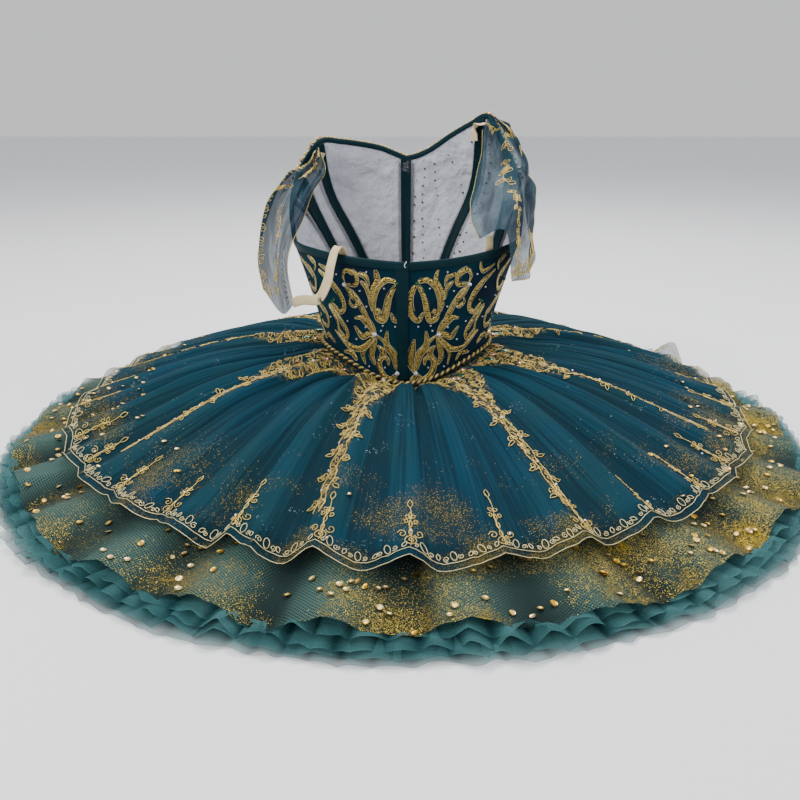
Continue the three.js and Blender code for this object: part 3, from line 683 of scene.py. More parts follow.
def strand(phase):
    line = []
    for step in range(1080):
        angle = step / 3
        radius, z = waist_path(angle)
        turn = math.radians(80 * angle) + phase
        line.append(polar(radius + 1.3 * math.cos(turn), angle, z + 1.3 * math.sin(turn)))
    return line, True


cords("waist_cord_gold", [strand(0)], 1.45, cord_gold, sides=1, nodes=["waist_rope"])
cords("waist_cord_black", [strand(math.pi)], 1.3, black_cord, sides=1)


def beads(name, places, material, slot="gold_trim", detail=1, nodes=()):
    """Small faceted balls, each given by its centre and radius in metres."""
    bm = bmesh.new()
    for centre, radius in places:
        bmesh.ops.create_icosphere(bm, subdivisions=detail, radius=radius, matrix=Matrix.Translation(centre))
    keep_piece(name, mesh_of(name, bm), material, slot, nodes, faceted=True)
    print(name, len(places), "beads")


NECK_BEADS = 130
neck_beads = []
neck_stones = []
for step in range(NECK_BEADS):
    angle = 14 + 152 * step / (NECK_BEADS - 1)
    if step % 5 == 2:
        neck_stones.append((edge_point(angle, 4.4, 2.4), 0.0028))
    else:
        neck_beads.append((edge_point(angle, 3.6 + 0.7 * (step % 2), 4.0 - 3.4 * (step % 2)), 0.0021))
beads("neckline_beads", neck_beads, cord_gold, detail=2, nodes=["neck_trim"])
beads("neckline_stones", neck_stones, bronze_stone)

# %% [markdown]
# A plate is many metres of net gathered to the waist, so its folds are soft, uneven and run outwards. Beside
# the broad folds of the solid, troughs and ridges are laid in: each starts and ends where it likes,
# and differs in depth and width. They are added up once in a table that every corner then looks up.

# %% Creases
def crease_table(count, low, high, depth, width, seed, columns=1440, rows=100):
    """Heights of troughs and ridges that run outwards, over a full turn and from low to high radius."""
    rng = np.random.default_rng(seed)
    table = np.zeros((columns, rows))
    angles = np.arange(columns) * 2 * math.pi / columns
    shares = np.linspace(0, 1, rows)
    for _ in range(count):
        centre = rng.uniform(0, 2 * math.pi)
        begin, end = sorted(rng.uniform(-0.35, 1.35, 2))
        if end - begin < 0.35:
            end = begin + 0.35 + rng.uniform(0, 0.4)
        spread = math.radians(width) * rng.uniform(0.5, 1.5)
        drift = rng.uniform(-0.05, 0.05)
        away = (angles[:, None] - centre - drift * shares[None, :] + math.pi) % (2 * math.pi) - math.pi
        across = np.exp(-(np.abs(away / spread) ** 1.35))
        along = np.clip((shares - begin) / 0.25, 0, 1) * np.clip((end - shares) / 0.25, 0, 1)
        table += rng.choice((-1.0, 1.0)) * depth * rng.uniform(0.35, 1) * across * along**2

    def height(degrees, r):
        column = (degrees / 360 * columns) % columns
        row = min(max((r - low) / (high - low), 0), 1) * (rows - 1.001)
        i, j = int(column), int(row)
        a, b = column - i, row - j
        i, k = i % columns, (i + 1) % columns
        near = table[i, j] * (1 - a) + table[k, j] * a
        far = table[i, j + 1] * (1 - a) + table[k, j + 1] * a
        return near * (1 - b) + far * b

    return height


def folds(count, degrees):
    turn = math.radians(degrees)
    wander = 0.55 * math.sin(3 * turn + 0.7) + 0.4 * math.sin(5 * turn + 2.1)
    return (0.84 + 0.16 * math.sin(7 * turn + 1.3)) * math.cos(count * turn + wander)


def scallop(degrees):
    return abs(math.sin(math.radians(SCALLOPS / 2 * degrees)))


def brief_radius(degrees, z):
    return oval(read(BRIEF, "z", "half", z), read(BRIEF, "z", "depth", z), degrees)


PLATE_REACH, SCALLOP_DEPTH = 434, 9
FOOT_END = 175  # the radius where a plate's foot no longer follows the waist seam
top_creases = crease_table(240, 90, PLATE_REACH, 5.0, 1.35, 11)
fine_creases = crease_table(620, 90, PLATE_REACH, 1.7, 0.5, 12)

# Scallops that turn up: where in degrees, how high in millimetres, how wide in degrees. The first three are sheer.
TURNED_UP = (
    (21, 26, 3.4), (12.5, 9, 2.4), (154, 11, 3.2), (170, 7, 3), (-128, 6, 2.6), (-42, 6, 3), (75, 8, 4), (112, 6, 3),
)


def ragged(count, seed):
    """A rule for a torn, angular outline: random values from -1 to 1 round the circle, joined by straight lines."""
    rng = random.Random(seed)
    values = [rng.uniform(-1, 1) for _ in range(count)]

    def value(degrees):
        place = degrees / 360 * count
        share = place - math.floor(place)
        first = math.floor(place) % count
        return values[first] * (1 - share) + values[(first + 1) % count] * share

    return value


hem_toss = ragged(170, 69)


def top_reach(degrees):
    return PLATE_REACH - SCALLOP_DEPTH * (1 - scallop(degrees)) + 1.2 * hem_toss(degrees + 7)


def plate_start(degrees):
    """The radius where the top plate leaves the bodice."""
    return bodice_radius(degrees, low_edge(degrees))


def plain_top(degrees, r):
    """The top plate without its folds: its section, with its foot moved to the waist seam."""
    seated = low_edge(degrees) - 1.6 - PLATE["z"][0]
    return read(PLATE, "r", "z", r) + seated * (1 - smooth(r, plate_start(degrees), FOOT_END))


def top_height(degrees, r):
    """The top plate's middle surface, in millimetres above the table."""
    start = plate_start(degrees)
    z = plain_top(degrees, r)
    swell = 6 * read(PLATE, "r", "fold", r) * folds(36, degrees)
    free = smooth(r, start, start + 30)
    gathers = 0.5 * math.sin(math.radians(148 * degrees)) + 0.4 * math.sin(math.radians(97 * degrees))
    gathers *= 1 - smooth(r, 150, 260)
    z += swell + free * (top_creases(degrees, r) + fine_creases(degrees, r) + gathers)
    away = turn_from(degrees, -86)  # the seam of the net lies by the centre back
    seam = 4.5 * math.exp(-(((away + 2.6) / 1.4) ** 2)) - 6 * math.exp(-((away / 1.1) ** 2))
    z += free * seam * (1 - smooth(r, 110, 215))
    z += 2.4 * hem_toss(degrees) * smooth(r, 400, PLATE_REACH)
    for centre, rise, spread in TURNED_UP:
        beside = turn_from(degrees, centre)
        if abs(beside) < 3 * spread:
            z += rise * math.exp(-((beside / spread) ** 2)) * smooth(r, 395, PLATE_REACH) ** 1.5
    return z


def on_plate(degrees, r, lift=0.0):
    return polar(r, degrees, top_height(degrees, r) + lift)


# %% [markdown]
# Every layer of the skirt is a full ring of net between two radii. The top plate has the lace hem at its edge. It
# marks where the motifs lie, where glitter was dusted, where a single layer of net is left, and where its folds
# crest, which sets painted light and shade on them.

# %% Top plate
RING_COLUMNS = 1080


def ring_of_net(name, rows, inner, reach, height, material, slot, nodes, marks, bend=1.0):
    """A closed ring of net between two radii, its rows closer together towards the hem where bend is under 1."""
    def radius(u, v):
        degrees = 360 * u
        start = inner(degrees)
        return start + (reach(degrees) - start) * v**bend

    def place(u, v):
        r = radius(u, v)
        return polar(r, 360 * u, height(360 * u, r))

    stores = {key: (lambda u, v, rule=rule: rule(360 * u, radius(u, v))) for key, rule in marks.items()}
    return cloth(name, RING_COLUMNS, rows, place, material, slot, nodes, closed=True, marks=stores)


MOTIF_BACK = -85
MOTIFS = [MOTIF_BACK + turn for turn in (-145, -107.5, -57.5, -17.5, 17.5, 57.5, 107.5, 145, 180)]
MOTIF_WIDTH = {
    "r": (112, 125, 145, 165, 190, 210, 235, 265, 325, 385),
    "w": (38, 36, 32, 27, 20, 15, 11, 9, 6.5, 4),
}


def motif_share(degrees, r):
    """1 inside a lace motif of the plate, 0 outside."""
    if r > 385:
        return 0.0
    away = min(abs(turn_from(degrees, centre)) for centre in MOTIFS)
    side = math.radians(away) * r
    width = read(MOTIF_WIDTH, "r", "w", r)
    return 1 - smooth(side, width - 3, width + 1)


def sheer_share(degrees, r):
    """Where one layer of the top plate is left: at its hem, and further in where a scallop turns up."""
    turned_up = 0
    for centre, _, spread in TURNED_UP[:3]:
        beside = turn_from(degrees, centre)
        turned_up = max(turned_up, math.exp(-((beside / spread / 1.4) ** 2)))
    return max(smooth(r, 396, 432), turned_up * smooth(r, 396, 418) * 1.25)


def crest_of(height, middle, depth_shading):
    """0 at the bottom of a fold, 1 at its top, by a height against the middle one. It sets painted shade low on the
    fold and painted light high on it.
    """
    return smooth(height - middle, -depth_shading, depth_shading)


top_marks = {
    # The crest value paints light on the folds' crests and shade in their troughs.
    "crest_light": lambda degrees, r: crest_of(top_height(degrees, r), plain_top(degrees, r), 6.5),
    "lace": motif_share,
    "glitter": lambda degrees, r: smooth(r, 300, 425),
    "edge": sheer_share,
}
top_plate = ring_of_net(
    "plate_top_net", 40, plate_start, top_reach, top_height, top_net, "top_net", ["plate_top"], top_marks)

# %% [markdown]
# The gilded plate lies under the top one and shows beyond its hem, in bell-shaped folds that droop to the frills.
# The frills below are layers of softer net that reach further out: their edges stand in ragged tubes.

# %% Gilded plate and frills
gold_creases = crease_table(150, 100, 492, 7.0, 1.5, 21)
frill_creases = [crease_table(260, 100, 506, 4.2, 1.0, seed) for seed in (31, 32, 33, 34)]


def tube(degrees, count, shift):
    """Round tubes side by side with sharp valleys between them, uneven in width: from 0 to 1."""
    turn = math.radians(degrees)
    phase = count / 2 * turn + 0.9 * math.sin(7 * turn + shift) + 0.7 * math.sin(11 * turn + 2 * shift)
    size = 0.72 + 0.28 * math.sin(13 * turn + 3 * shift)
    return size * abs(math.sin(phase)) ** 0.65


GOLD_DROP = 15  # how far under the waist seam the gilded plate is sewn on
gold_torn = ragged(260, 70)


def gold_reach(degrees):
    return 487.5 + 4 * folds(11, degrees) + 2.4 * gold_torn(degrees)


def gold_height(degrees, r):
    seated = low_edge(degrees) - GOLD_DROP - GOLD["z"][0]
    z = read(GOLD, "r", "z", r) + seated * (1 - smooth(r, 102, FOOT_END))
    share = read(GOLD, "r", "fold", r)
    ruffle = smooth(r, 450, 490) * (4.5 + 2 * gold_torn(degrees)) * (tube(degrees, 92, 1.3) - 0.5)
    return z + 9 * share * folds(26, degrees) + share * gold_creases(degrees, r) + ruffle


def gold_start(degrees):
    return brief_radius(degrees, low_edge(degrees) - GOLD_DROP) + 0.9


gold_marks = {
    "glitter": lambda degrees, r: smooth(r, 360, 430),
    "edge": lambda degrees, r: smooth(r, 470, 492),
    # The crest value paints light on the bell-shaped folds' crests and shade in their troughs.
    "crest_light": lambda degrees, r: crest_of(gold_height(degrees, r), read(GOLD, "r", "z", r), 9),
}
gold_plate = ring_of_net(
    "plate_gilded_net", 28, gold_start, gold_reach, gold_height, gold_net, "gilded_net", ["plate_gold"],
    gold_marks, bend=0.8)


FLOOR_LEVEL = 0.7  # no net lies lower than this, in millimetres


def frill(name, index, table, inner_z, reach, lift, rise, count, nodes=()):
    """A frill of soft net: flat inside, and standing in count ragged tubes of about rise mm at its hem."""
    torn, tossed = ragged(310, 71 + index), ragged(200, 81 + index)
    shift = 2.2 * index

    def hem(degrees):
        bulge = reach + 5 * tube(degrees, count, shift) - 2.5
        return bulge + 2 * folds(19, degrees + 20 * index) + 3.2 * torn(degrees)

    def tubes(degrees, r):
        stand = smooth(r, reach - 80, reach + 8) * 1.2 * rise * (0.85 + 0.5 * tossed(degrees))
        return stand * tube(degrees, count, shift)

    def body(degrees, r):
        crease = frill_creases[index](degrees, r)
        return read(table, "r", "z", r) + lift + crease * smooth(r, reach - 110, reach) * 0.4

    def height(degrees, r):
        z = max(body(degrees, r), FLOOR_LEVEL) + tubes(degrees, r)
        if r < gold_reach(degrees) + 1:
            z = min(z, gold_height(degrees, min(r, gold_reach(degrees))) - 2 - 1.5 * index)
        return max(z, FLOOR_LEVEL)

    def start(degrees):
        return brief_radius(degrees, inner_z) + 0.6

    marks = {
        "edge": lambda degrees, r: smooth(r, reach - 26, reach),
        # The crest value paints light on the tops of the tubes and shade in the valleys between them.
        "crest_light": lambda degrees, r: smooth(tube(degrees, count, shift), 0.05, 0.6),
    }
    return ring_of_net(name, 24, start, hem, height, pale_net, "pale_net", nodes, marks, bend=0.7)


frill_top = frill(
    "frill_upper", 0, UPPER, inner_z=52, reach=492, lift=0.0, rise=12, count=84, nodes=["net_upper"])
frill_second = frill("frill_second", 1, UPPER, inner_z=46, reach=500, lift=-5.0, rise=13, count=96)
frill_low = frill("frill_low", 2, LOWER, inner_z=30, reach=506, lift=0.3, rise=10, count=78, nodes=["net_lower"])
frill_floor = frill("frill_floor", 3, LOWER, inner_z=28, reach=512, lift=0.0, rise=6, count=110)

# %% [markdown]
# A maker cuts each layer of net as a straight strip and gathers one side of it to the waist. So its cut is as
# wide as the ring reaches outwards, and as long as its hem, about 1.6 times its length half way in.
# Here only each ring's area is worked out.

# %% Cut of the net
for net, reach, under in (
    (top_plate, 0.434, "plate_gilded_net"), (gold_plate, 0.49, "frill_upper"),
    (frill_top, 0.498, "frill_second"), (frill_second, 0.502, "frill_low"),
    (frill_low, 0.507, "frill_floor"), (frill_floor, 0.511, "brief"),
):
    area = flat_area(net)

# %% [markdown]
# Corded lace is drawn thread by thread, as an embroiderer lays cord: curls, rings and small leaves, each a short
# run of points in a flat plan. A plan point is (across, along) in millimetres, later carried on to the net.

# %% Shapes of the lace
def turned(points, x, y, turn):
    c, s = math.cos(math.radians(turn)), math.sin(math.radians(turn))
    return [(x + px * c - py * s, y + px * s + py * c) for px, py in points]


def curl(x, y, size, turn, hand=1, coils=1.1):
    """A spiral that starts at its centre and opens outwards."""
    points = []
    for step in range(13):
        share = step / 12
        angle = 2 * math.pi * coils * share
        radius = size * (0.22 + 0.78 * share)
        points.append((hand * radius * math.cos(angle), radius * math.sin(angle)))
    return turned(points, x, y, turn), False


def ring(x, y, across, along, turn=0):
    points = [(across * math.cos(2 * math.pi * i / 11), along * math.sin(2 * math.pi * i / 11)) for i in range(11)]
    return turned(points, x, y, turn), True


def leaf(x, y, length, width, turn):
    """A pointed oval that grows from its foot at (x, y)."""
    right = [(width * math.sin(math.pi * i / 5), length * i / 5) for i in range(6)]
    left = [(-width * math.sin(math.pi * i / 5), length * i / 5) for i in range(4, 0, -1)]
    return turned(right + left, x, y, turn), True


def carried(shape, carry):
    """A plan shape carried on to the cloth by a rule for one point."""
    points, endless = shape
    return [carry(x, y) for x, y in points], endless


def plate_carry(centre, lift):
    return lambda x, y: on_plate(centre + math.degrees(x / y), y, lift)


# %% [markdown]
# Each motif spreads wide at the waist and runs out to a thin stem towards the hem. Two wandering cords bind it, and
# between them curls, rings and leaves crowd together. All nine are laid in the same way, none quite like another.

# %% Lace motifs on the plate
def motif_shapes(rng):
    shapes = []
    for side in (-1, 1):
        line = []
        for step in range(60):
            r = 113 + step * 4.6
            width = read(MOTIF_WIDTH, "r", "w", r)
            line.append((side * width * (0.62 + 0.3 * math.sin(step * 0.9 + side)), r))
        shapes.append((line, False))
    r = 114.0
    while r < 384:
        width = read(MOTIF_WIDTH, "r", "w", r)
        count = max(1, round(2 * width / 9.5))
        for index in range(count):
            x = (index + 0.5) / count * 2 * width - width + rng.uniform(-2, 2)
            y = r + rng.uniform(-3, 3)
            kind = rng.random()
            out = 180 - 60 * x / max(width, 1) + rng.uniform(-35, 35)
            if kind < 0.42:
                shapes.append(curl(x, y, rng.uniform(2.6, 4.6), rng.uniform(0, 360), rng.choice((-1, 1))))
            elif kind < 0.66:
                shapes.append(leaf(x, y, rng.uniform(6, 11), rng.uniform(1.5, 2.8), out))
            elif kind < 0.85:
                shapes.append(ring(x, y, rng.uniform(2, 3.4), rng.uniform(2.4, 4.4), rng.uniform(0, 180)))
            else:
                for petal in range(4):
                    shapes.append(leaf(x, y, rng.uniform(4, 5.5), 1.3, 90 * petal + out))
        r += 8.2
    for step in range(9):
        y = 225 + step * 18 + rng.uniform(-4, 4)
        side = 1 if step % 2 else -1
        width = read(MOTIF_WIDTH, "r", "w", y)
        shapes.append(curl(side * (width + 1.5), y, rng.uniform(3.2, 5.2), rng.uniform(0, 360), side, 1.3))
        shapes.append(leaf(side * width, y + 4, rng.uniform(7, 10), 2, -side * rng.uniform(50, 120)))
    return shapes


rng = random.Random(5)
for number, centre in enumerate(MOTIFS, start=1):
    carry = plate_carry(centre, 1.2)
    lines = [carried(shape, carry) for shape in motif_shapes(rng)]
    cords(f"lace_motif_{number}", lines, 0.56, cord_gold)

# %% [markdown]
# Round the hem run two pale cords, the outer on the very edge. Between and above them a vine of curls and rings
# follows each scallop, and a tall sprig with paired curls and leaves stands inwards from every point.

# %% Hem of the lace
def hem_line(inset, lift, per_scallop=14, wobble=0.0):
    line = []
    steps = SCALLOPS * per_scallop
    for step in range(steps):
        degrees = 360 * step / steps
        r = top_reach(degrees) - inset + wobble * math.sin(step * 2.4)
        line.append(on_plate(degrees, r, lift))
    return line, True


hem_lines = [hem_line(0.5, 0.4), hem_line(7.6, 0.8, wobble=0.4)]
cords("lace_hem_cords", hem_lines, 0.4, pale_cord)

rng = random.Random(8)
vine = []
sprigs = []
for number in range(SCALLOPS):
    for step in range(12):
        degrees = (number + (step + 1) / 13) * 360 / SCALLOPS
        r = top_reach(degrees) - 8.5
        size = rng.uniform(2.3, 3.2)
        if step % 4 == 1:
            shape = ring(0, r - rng.uniform(4.5, 6.5), 2.6, 4.8, rng.uniform(-30, 30))
        elif step % 2 == 0:
            shape = curl(0, r - 3.4, size, rng.uniform(0, 360), rng.choice((-1, 1)), 1.3)
        else:
            shape = leaf(0, r - 1.5, 6.5, 1.7, rng.uniform(120, 240))
        vine.append(carried(shape, plate_carry(degrees, 1.1)))
    cusp = number * 360 / SCALLOPS + rng.uniform(-0.5, 0.5)
    foot = top_reach(cusp) - 9
    tall = rng.uniform(40, 56)
    carry = plate_carry(cusp, 1.2)
    parts = [([(1.0 * math.sin(k * 0.8), foot - tall * k / 12) for k in range(13)], False)]
    parts += [ring(0, foot - 6, 5.2, 4.2), curl(0, foot - 6, 3, 40)]
    parts += [curl(side * 7.5, foot - 13, 4.4, 90, side, 1.2) for side in (-1, 1)]
    parts += [leaf(0, foot - 10 - 9 * k, 8.5, 1.5, 180) for k in range(3)]
    parts += [curl(side * 4.2, foot - tall * 0.62, 2.7, 90, side, 1.1) for side in (-1, 1)]
    parts += [leaf(0, foot - tall * 0.7, 5.5, 1.6, 180 + side * 55) for side in (-1, 1)]
    parts.append(leaf(0, foot - tall + 1, 9.5, 2.4, 180))
    sprigs += [carried(shape, carry) for shape in parts]
cords("lace_hem_vine", vine, 0.42, pale_cord)
cords("lace_hem_sprigs", sprigs, 0.5, cord_gold)

# %% [markdown]
# The brief is a knitted bowl with two leg holes. Its solid has the right shape already, so it keeps its mesh
# and only gets its knit. It can't be seen unless the skirt is turned over.

# %% Brief and elastics
def dress(name, material):
    """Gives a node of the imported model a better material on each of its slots."""
    obj = bpy.data.objects[name]
    for slot in obj.material_slots:
        slot.material = material
    return obj


brief = dress("brief", knit)


def smooth_path(stops, share):
    """The point at a share of a centripetal Catmull-Rom curve through the stops."""
    last = len(stops) - 1
    i = min(int(share * last), last - 1)
    w = share * last - i
    p1, p2 = stops[i], stops[i + 1]
    p0 = stops[i - 1] if i else 2 * p1 - p2
    p3 = stops[i + 2] if i + 2 <= last else 2 * p2 - p1
    d0, d1, d2 = (max((b - a).length, 1e-6) ** 0.5 for a, b in ((p0, p1), (p1, p2), (p2, p3)))
    m1 = ((p1 - p0) / d0 - (p2 - p0) / (d0 + d1) + (p2 - p1) / d1) * d1
    m2 = ((p2 - p1) / d1 - (p3 - p1) / (d1 + d2) + (p3 - p2) / d2) * d1
    near = p1 * (2 * w**3 - 3 * w**2 + 1) + m1 * (w**3 - 2 * w**2 + w)
    return near + p2 * (3 * w**2 - 2 * w**3) + m2 * (w**3 - w**2)


ELASTICS = {
    "elastic_left_front": (
        ((-115, 66, 330), (-0.5, -0.87, 0)), ((-114.5, 66, 339), (-0.5, -0.87, 0)),
        ((-108.6, 64.9, 351.5), (-0.5, -0.87, 0)),
    ),
    "elastic_left_back": (
        ((-73, -85, 236), (0.757, -0.65, 0)), ((-75, -87, 250), (0.757, -0.65, 0)),
        ((-78.5, -91.5, 255.5), (0.757, -0.65, 0)), ((-82.5, -96, 251), (0.757, -0.65, 0)),
        ((-87, -102, 236), (0.8, -0.6, 0)), ((-92, -105, 216), (0.9, -0.4, 0.3)),
        ((-103, -102, 197), (0.6, -0.3, 0.7)), ((-124, -86, 192), (0.1, -0.3, 1)),
        ((-140.2, -53.8, 181), (0, -0.4, 1)),
    ),
    "elastic_right_front": (
        ((89, 74.8, 366), (-0.64, 0.77, 0)), ((88.5, 74.2, 376), (-0.64, 0.77, 0)), ((92, 68, 386), (0.9, 0.3, 0)),
        ((95.5, 45.8, 386), (1, 0, 0.1)),
    ),
    "elastic_right_back": (
        ((96.9, -72.5, 236), (0.77, 0.64, 0)), ((97.5, -73.1, 250), (0.77, 0.64, 0)),
        ((97, -73, 265.2), (0.77, 0.64, 0)),
    ),
}


STRAP_WIDTH = 12


def strap(name, stops):
    """A woven band that follows its stops, with a hint of a curl at its sides."""
    centres = [Vector(point) for point, _ in stops]
    widths = [Vector(wide) for _, wide in stops]

    def place(u, v):
        along = (smooth_path(centres, min(v + 0.01, 1)) - smooth_path(centres, max(v - 0.01, 0))).normalized()
        i = min(int(v * (len(stops) - 1)), len(stops) - 2)
        wide = widths[i].lerp(widths[i + 1], v * (len(stops) - 1) - i)
        wide = (wide - along * wide.dot(along)).normalized()
        face = along.cross(wide)
        return (smooth_path(centres, v) + wide * STRAP_WIDTH * (u - 0.5) + face * 0.8 * (2 * u - 1) ** 2) * MM

    obj = cloth(name + "_band", 10, 60, place, elastic_weave, "elastic", [name], thick=1.0)
    declare(obj)


for name, stops in ELASTICS.items():
    strap(name, stops)

# %% [markdown]
# Each sleeve is a sheet of stiff organza through three guide lines: its inner edge, its ridge and its hem. The right
# one arches over the bodice's side. The left one has slipped down and hangs outside. Crumples cross the sheet.

# %% Sleeves
RIGHT_SLEEVE = (
    ((96, 46, 380), (106, 42, 398), (117, 41, 386)),
    ((95, 44, 345), (131, 42, 381), (154, 36, 326)),
    ((84, 16, 300), (146, 14, 348), (162, 6, 240)),
    ((80, -34, 276), (139, -34, 312), (150, -56, 214)),
    ((84, -76, 262), (112, -84, 274), (122, -96, 216)),
)
LEFT_SLEEVE = (
    ((-110, 59, 352), (-113, 54, 359), (-118, 49, 352)),
    ((-104, 44, 330), (-116, 40, 340), (-127, 34, 333)),
    ((-116, 12, 308), (-134, 10, 324), (-156, 4, 318)),
    ((-126, -18, 280), (-150, -18, 294), (-167, -12, 287)),
    ((-144, -46, 234), (-160, -44, 240), (-182, -24, 240)),
    ((-139, -52, 178), (-152, -50, 166), (-180, -26, 192)),
)


def sleeve_surface(lines, gathers, depth, seed):
    """A rule that gives the point of a sleeve at (u, v), u from inner edge to hem and v from front to back."""
    guides = [[Vector(row[k]) for row in lines] for k in range(3)]
    rng = random.Random(seed)
    crumples = [(rng.uniform(0, 1), rng.uniform(0, 1), rng.uniform(0.035, 0.09), rng.uniform(0.15, 0.45),
                 rng.uniform(-0.8, 0.8), rng.uniform(-5, 5)) for _ in range(64)]

    def flat(u, v):
        return smooth_path([smooth_path(guide, v) for guide in guides], u)

    def swell(u, v):
        wave = math.sin(2 * math.pi * gathers * v) * math.sin(math.pi * v) * (0.35 + 0.65 * u) * depth
        for cu, cv, narrow, long, slant, height in crumples:
            du = u - cu - slant * 0.4 * (v - cv)
            fade = math.exp(-abs(du / narrow) ** 1.5 - ((v - cv) / long) ** 2)
            wave += height * fade * max(math.sin(math.pi * v), 0) ** 0.5
        return wave

    def point(u, v, lift=0.0):
        u, v = min(max(u, 0), 1), min(max(v, 0), 1)
        here = flat(u, v)
        across = flat(min(u + 0.01, 1), v) - flat(max(u - 0.01, 0), v)
        down = flat(u, min(v + 0.01, 1)) - flat(u, max(v - 0.01, 0))
        outwards = down.cross(across).normalized()
        return (here + outwards * (swell(u, v) + lift)) * MM

    return point, swell


on_right_sleeve, right_swell = sleeve_surface(RIGHT_SLEEVE, 4, 3.5, 41)
on_left_sleeve, left_swell = sleeve_surface(LEFT_SLEEVE, 3, 2, 42)
for node, surface, swell in (
    ("sleeve_right", on_right_sleeve, right_swell), ("sleeve_left", on_left_sleeve, left_swell),
):
    # The crest value paints light on the crumples' crests and shade in their troughs.
    marks = {"crest_light": lambda u, v, swell=swell: smooth(swell(u, v), -6, 7)}
    obj = cloth(node + "_organza", 72, 120, surface, organza, "organza", [node], marks=marks)
    declare(obj)


def sleeve_lace(name, surface, size, seed, sprays):
    """Lace along a sleeve's hem and in sprays over it. size is its reach across and along in millimetres."""
    rng = random.Random(seed)
    wide, long = size

    def carry_at(u, v):
        return lambda x, y: surface(u + x / wide, v + y / long, 0.1)

    lines = []
    for inset in (0.006, 0.045):
        lines.append(([surface(1 - inset, step / 160, 0.1) for step in range(161)], False))
    lines.append(([surface(0.004, step / 120, 0.1) for step in range(121)], False))
    count = round(long / 6.5)
    for step in range(count):
        v = (step + 0.5) / count
        here = carry_at(1 - 5.5 / wide, v)
        lines.append(carried(curl(-1, 0, rng.uniform(2, 3), rng.uniform(0, 360), rng.choice((-1, 1)), 1.3), here))
        lines.append(carried(leaf(-3, 0, rng.uniform(5, 8), 1.5, 90 + rng.uniform(-50, 50)), here))
    for u, v, turn, scale in sprays:
        here = carry_at(u, v)
        stem = [(x * scale, 2.5 * math.sin(x * 0.16) * scale) for x in range(-22, 23, 3)]
        shapes = [(turned(stem, 0, 0, turn), False)]
        for k in range(-2, 3):
            x, y = turned([(10 * k * scale, 2.5 * math.sin(10 * k * 0.16) * scale)], 0, 0, turn)[0]
            side = 1 if k % 2 else -1
            shapes.append(curl(x, y + 4 * side, 3.2 * scale, rng.uniform(0, 360), side, 1.1))
            shapes.append(leaf(x, y, 9 * scale, 2.2 * scale, turn + side * 40 - 90))
        for petal in range(5):
            shapes.append(leaf(0, 0, 5.5 * scale, 1.8 * scale, 72 * petal))
        lines += [carried(shape, here) for shape in shapes]
    cords(name, lines, 0.46, cord_gold)


sleeve_lace("sleeve_right_lace", on_right_sleeve, (120, 260), 51, (
    (0.25, 0.1, 75, 0.9), (0.7, 0.14, 60, 1.0), (0.4, 0.3, 105, 1.2), (0.68, 0.47, 60, 1.3), (0.3, 0.56, 85, 1.2),
    (0.85, 0.7, 95, 1.2), (0.88, 0.3, 85, 1.1), (0.45, 0.8, 50, 1.0), (0.75, 0.9, 20, 0.9),
))
sleeve_lace("sleeve_left_lace", on_left_sleeve, (60, 240), 52, (
    (0.45, 0.08, 85, 0.5), (0.5, 0.2, 95, 0.6), (0.4, 0.33, 80, 0.6), (0.75, 0.5, 30, 0.7), (0.5, 0.68, 100, 0.8),
    (0.5, 0.88, 60, 0.8),
))

# %% [markdown]
# The back is worked in gold scrolls in an old court manner: plump teardrops, a fan of leaves, loops and volutes.
# Each is a ribbon filled with chains of sequins, and a fine cord runs round its outline. A plan gives each
# ribbon's middle line, in shares of the panel's width from the middle and of its height, and its width in mm.

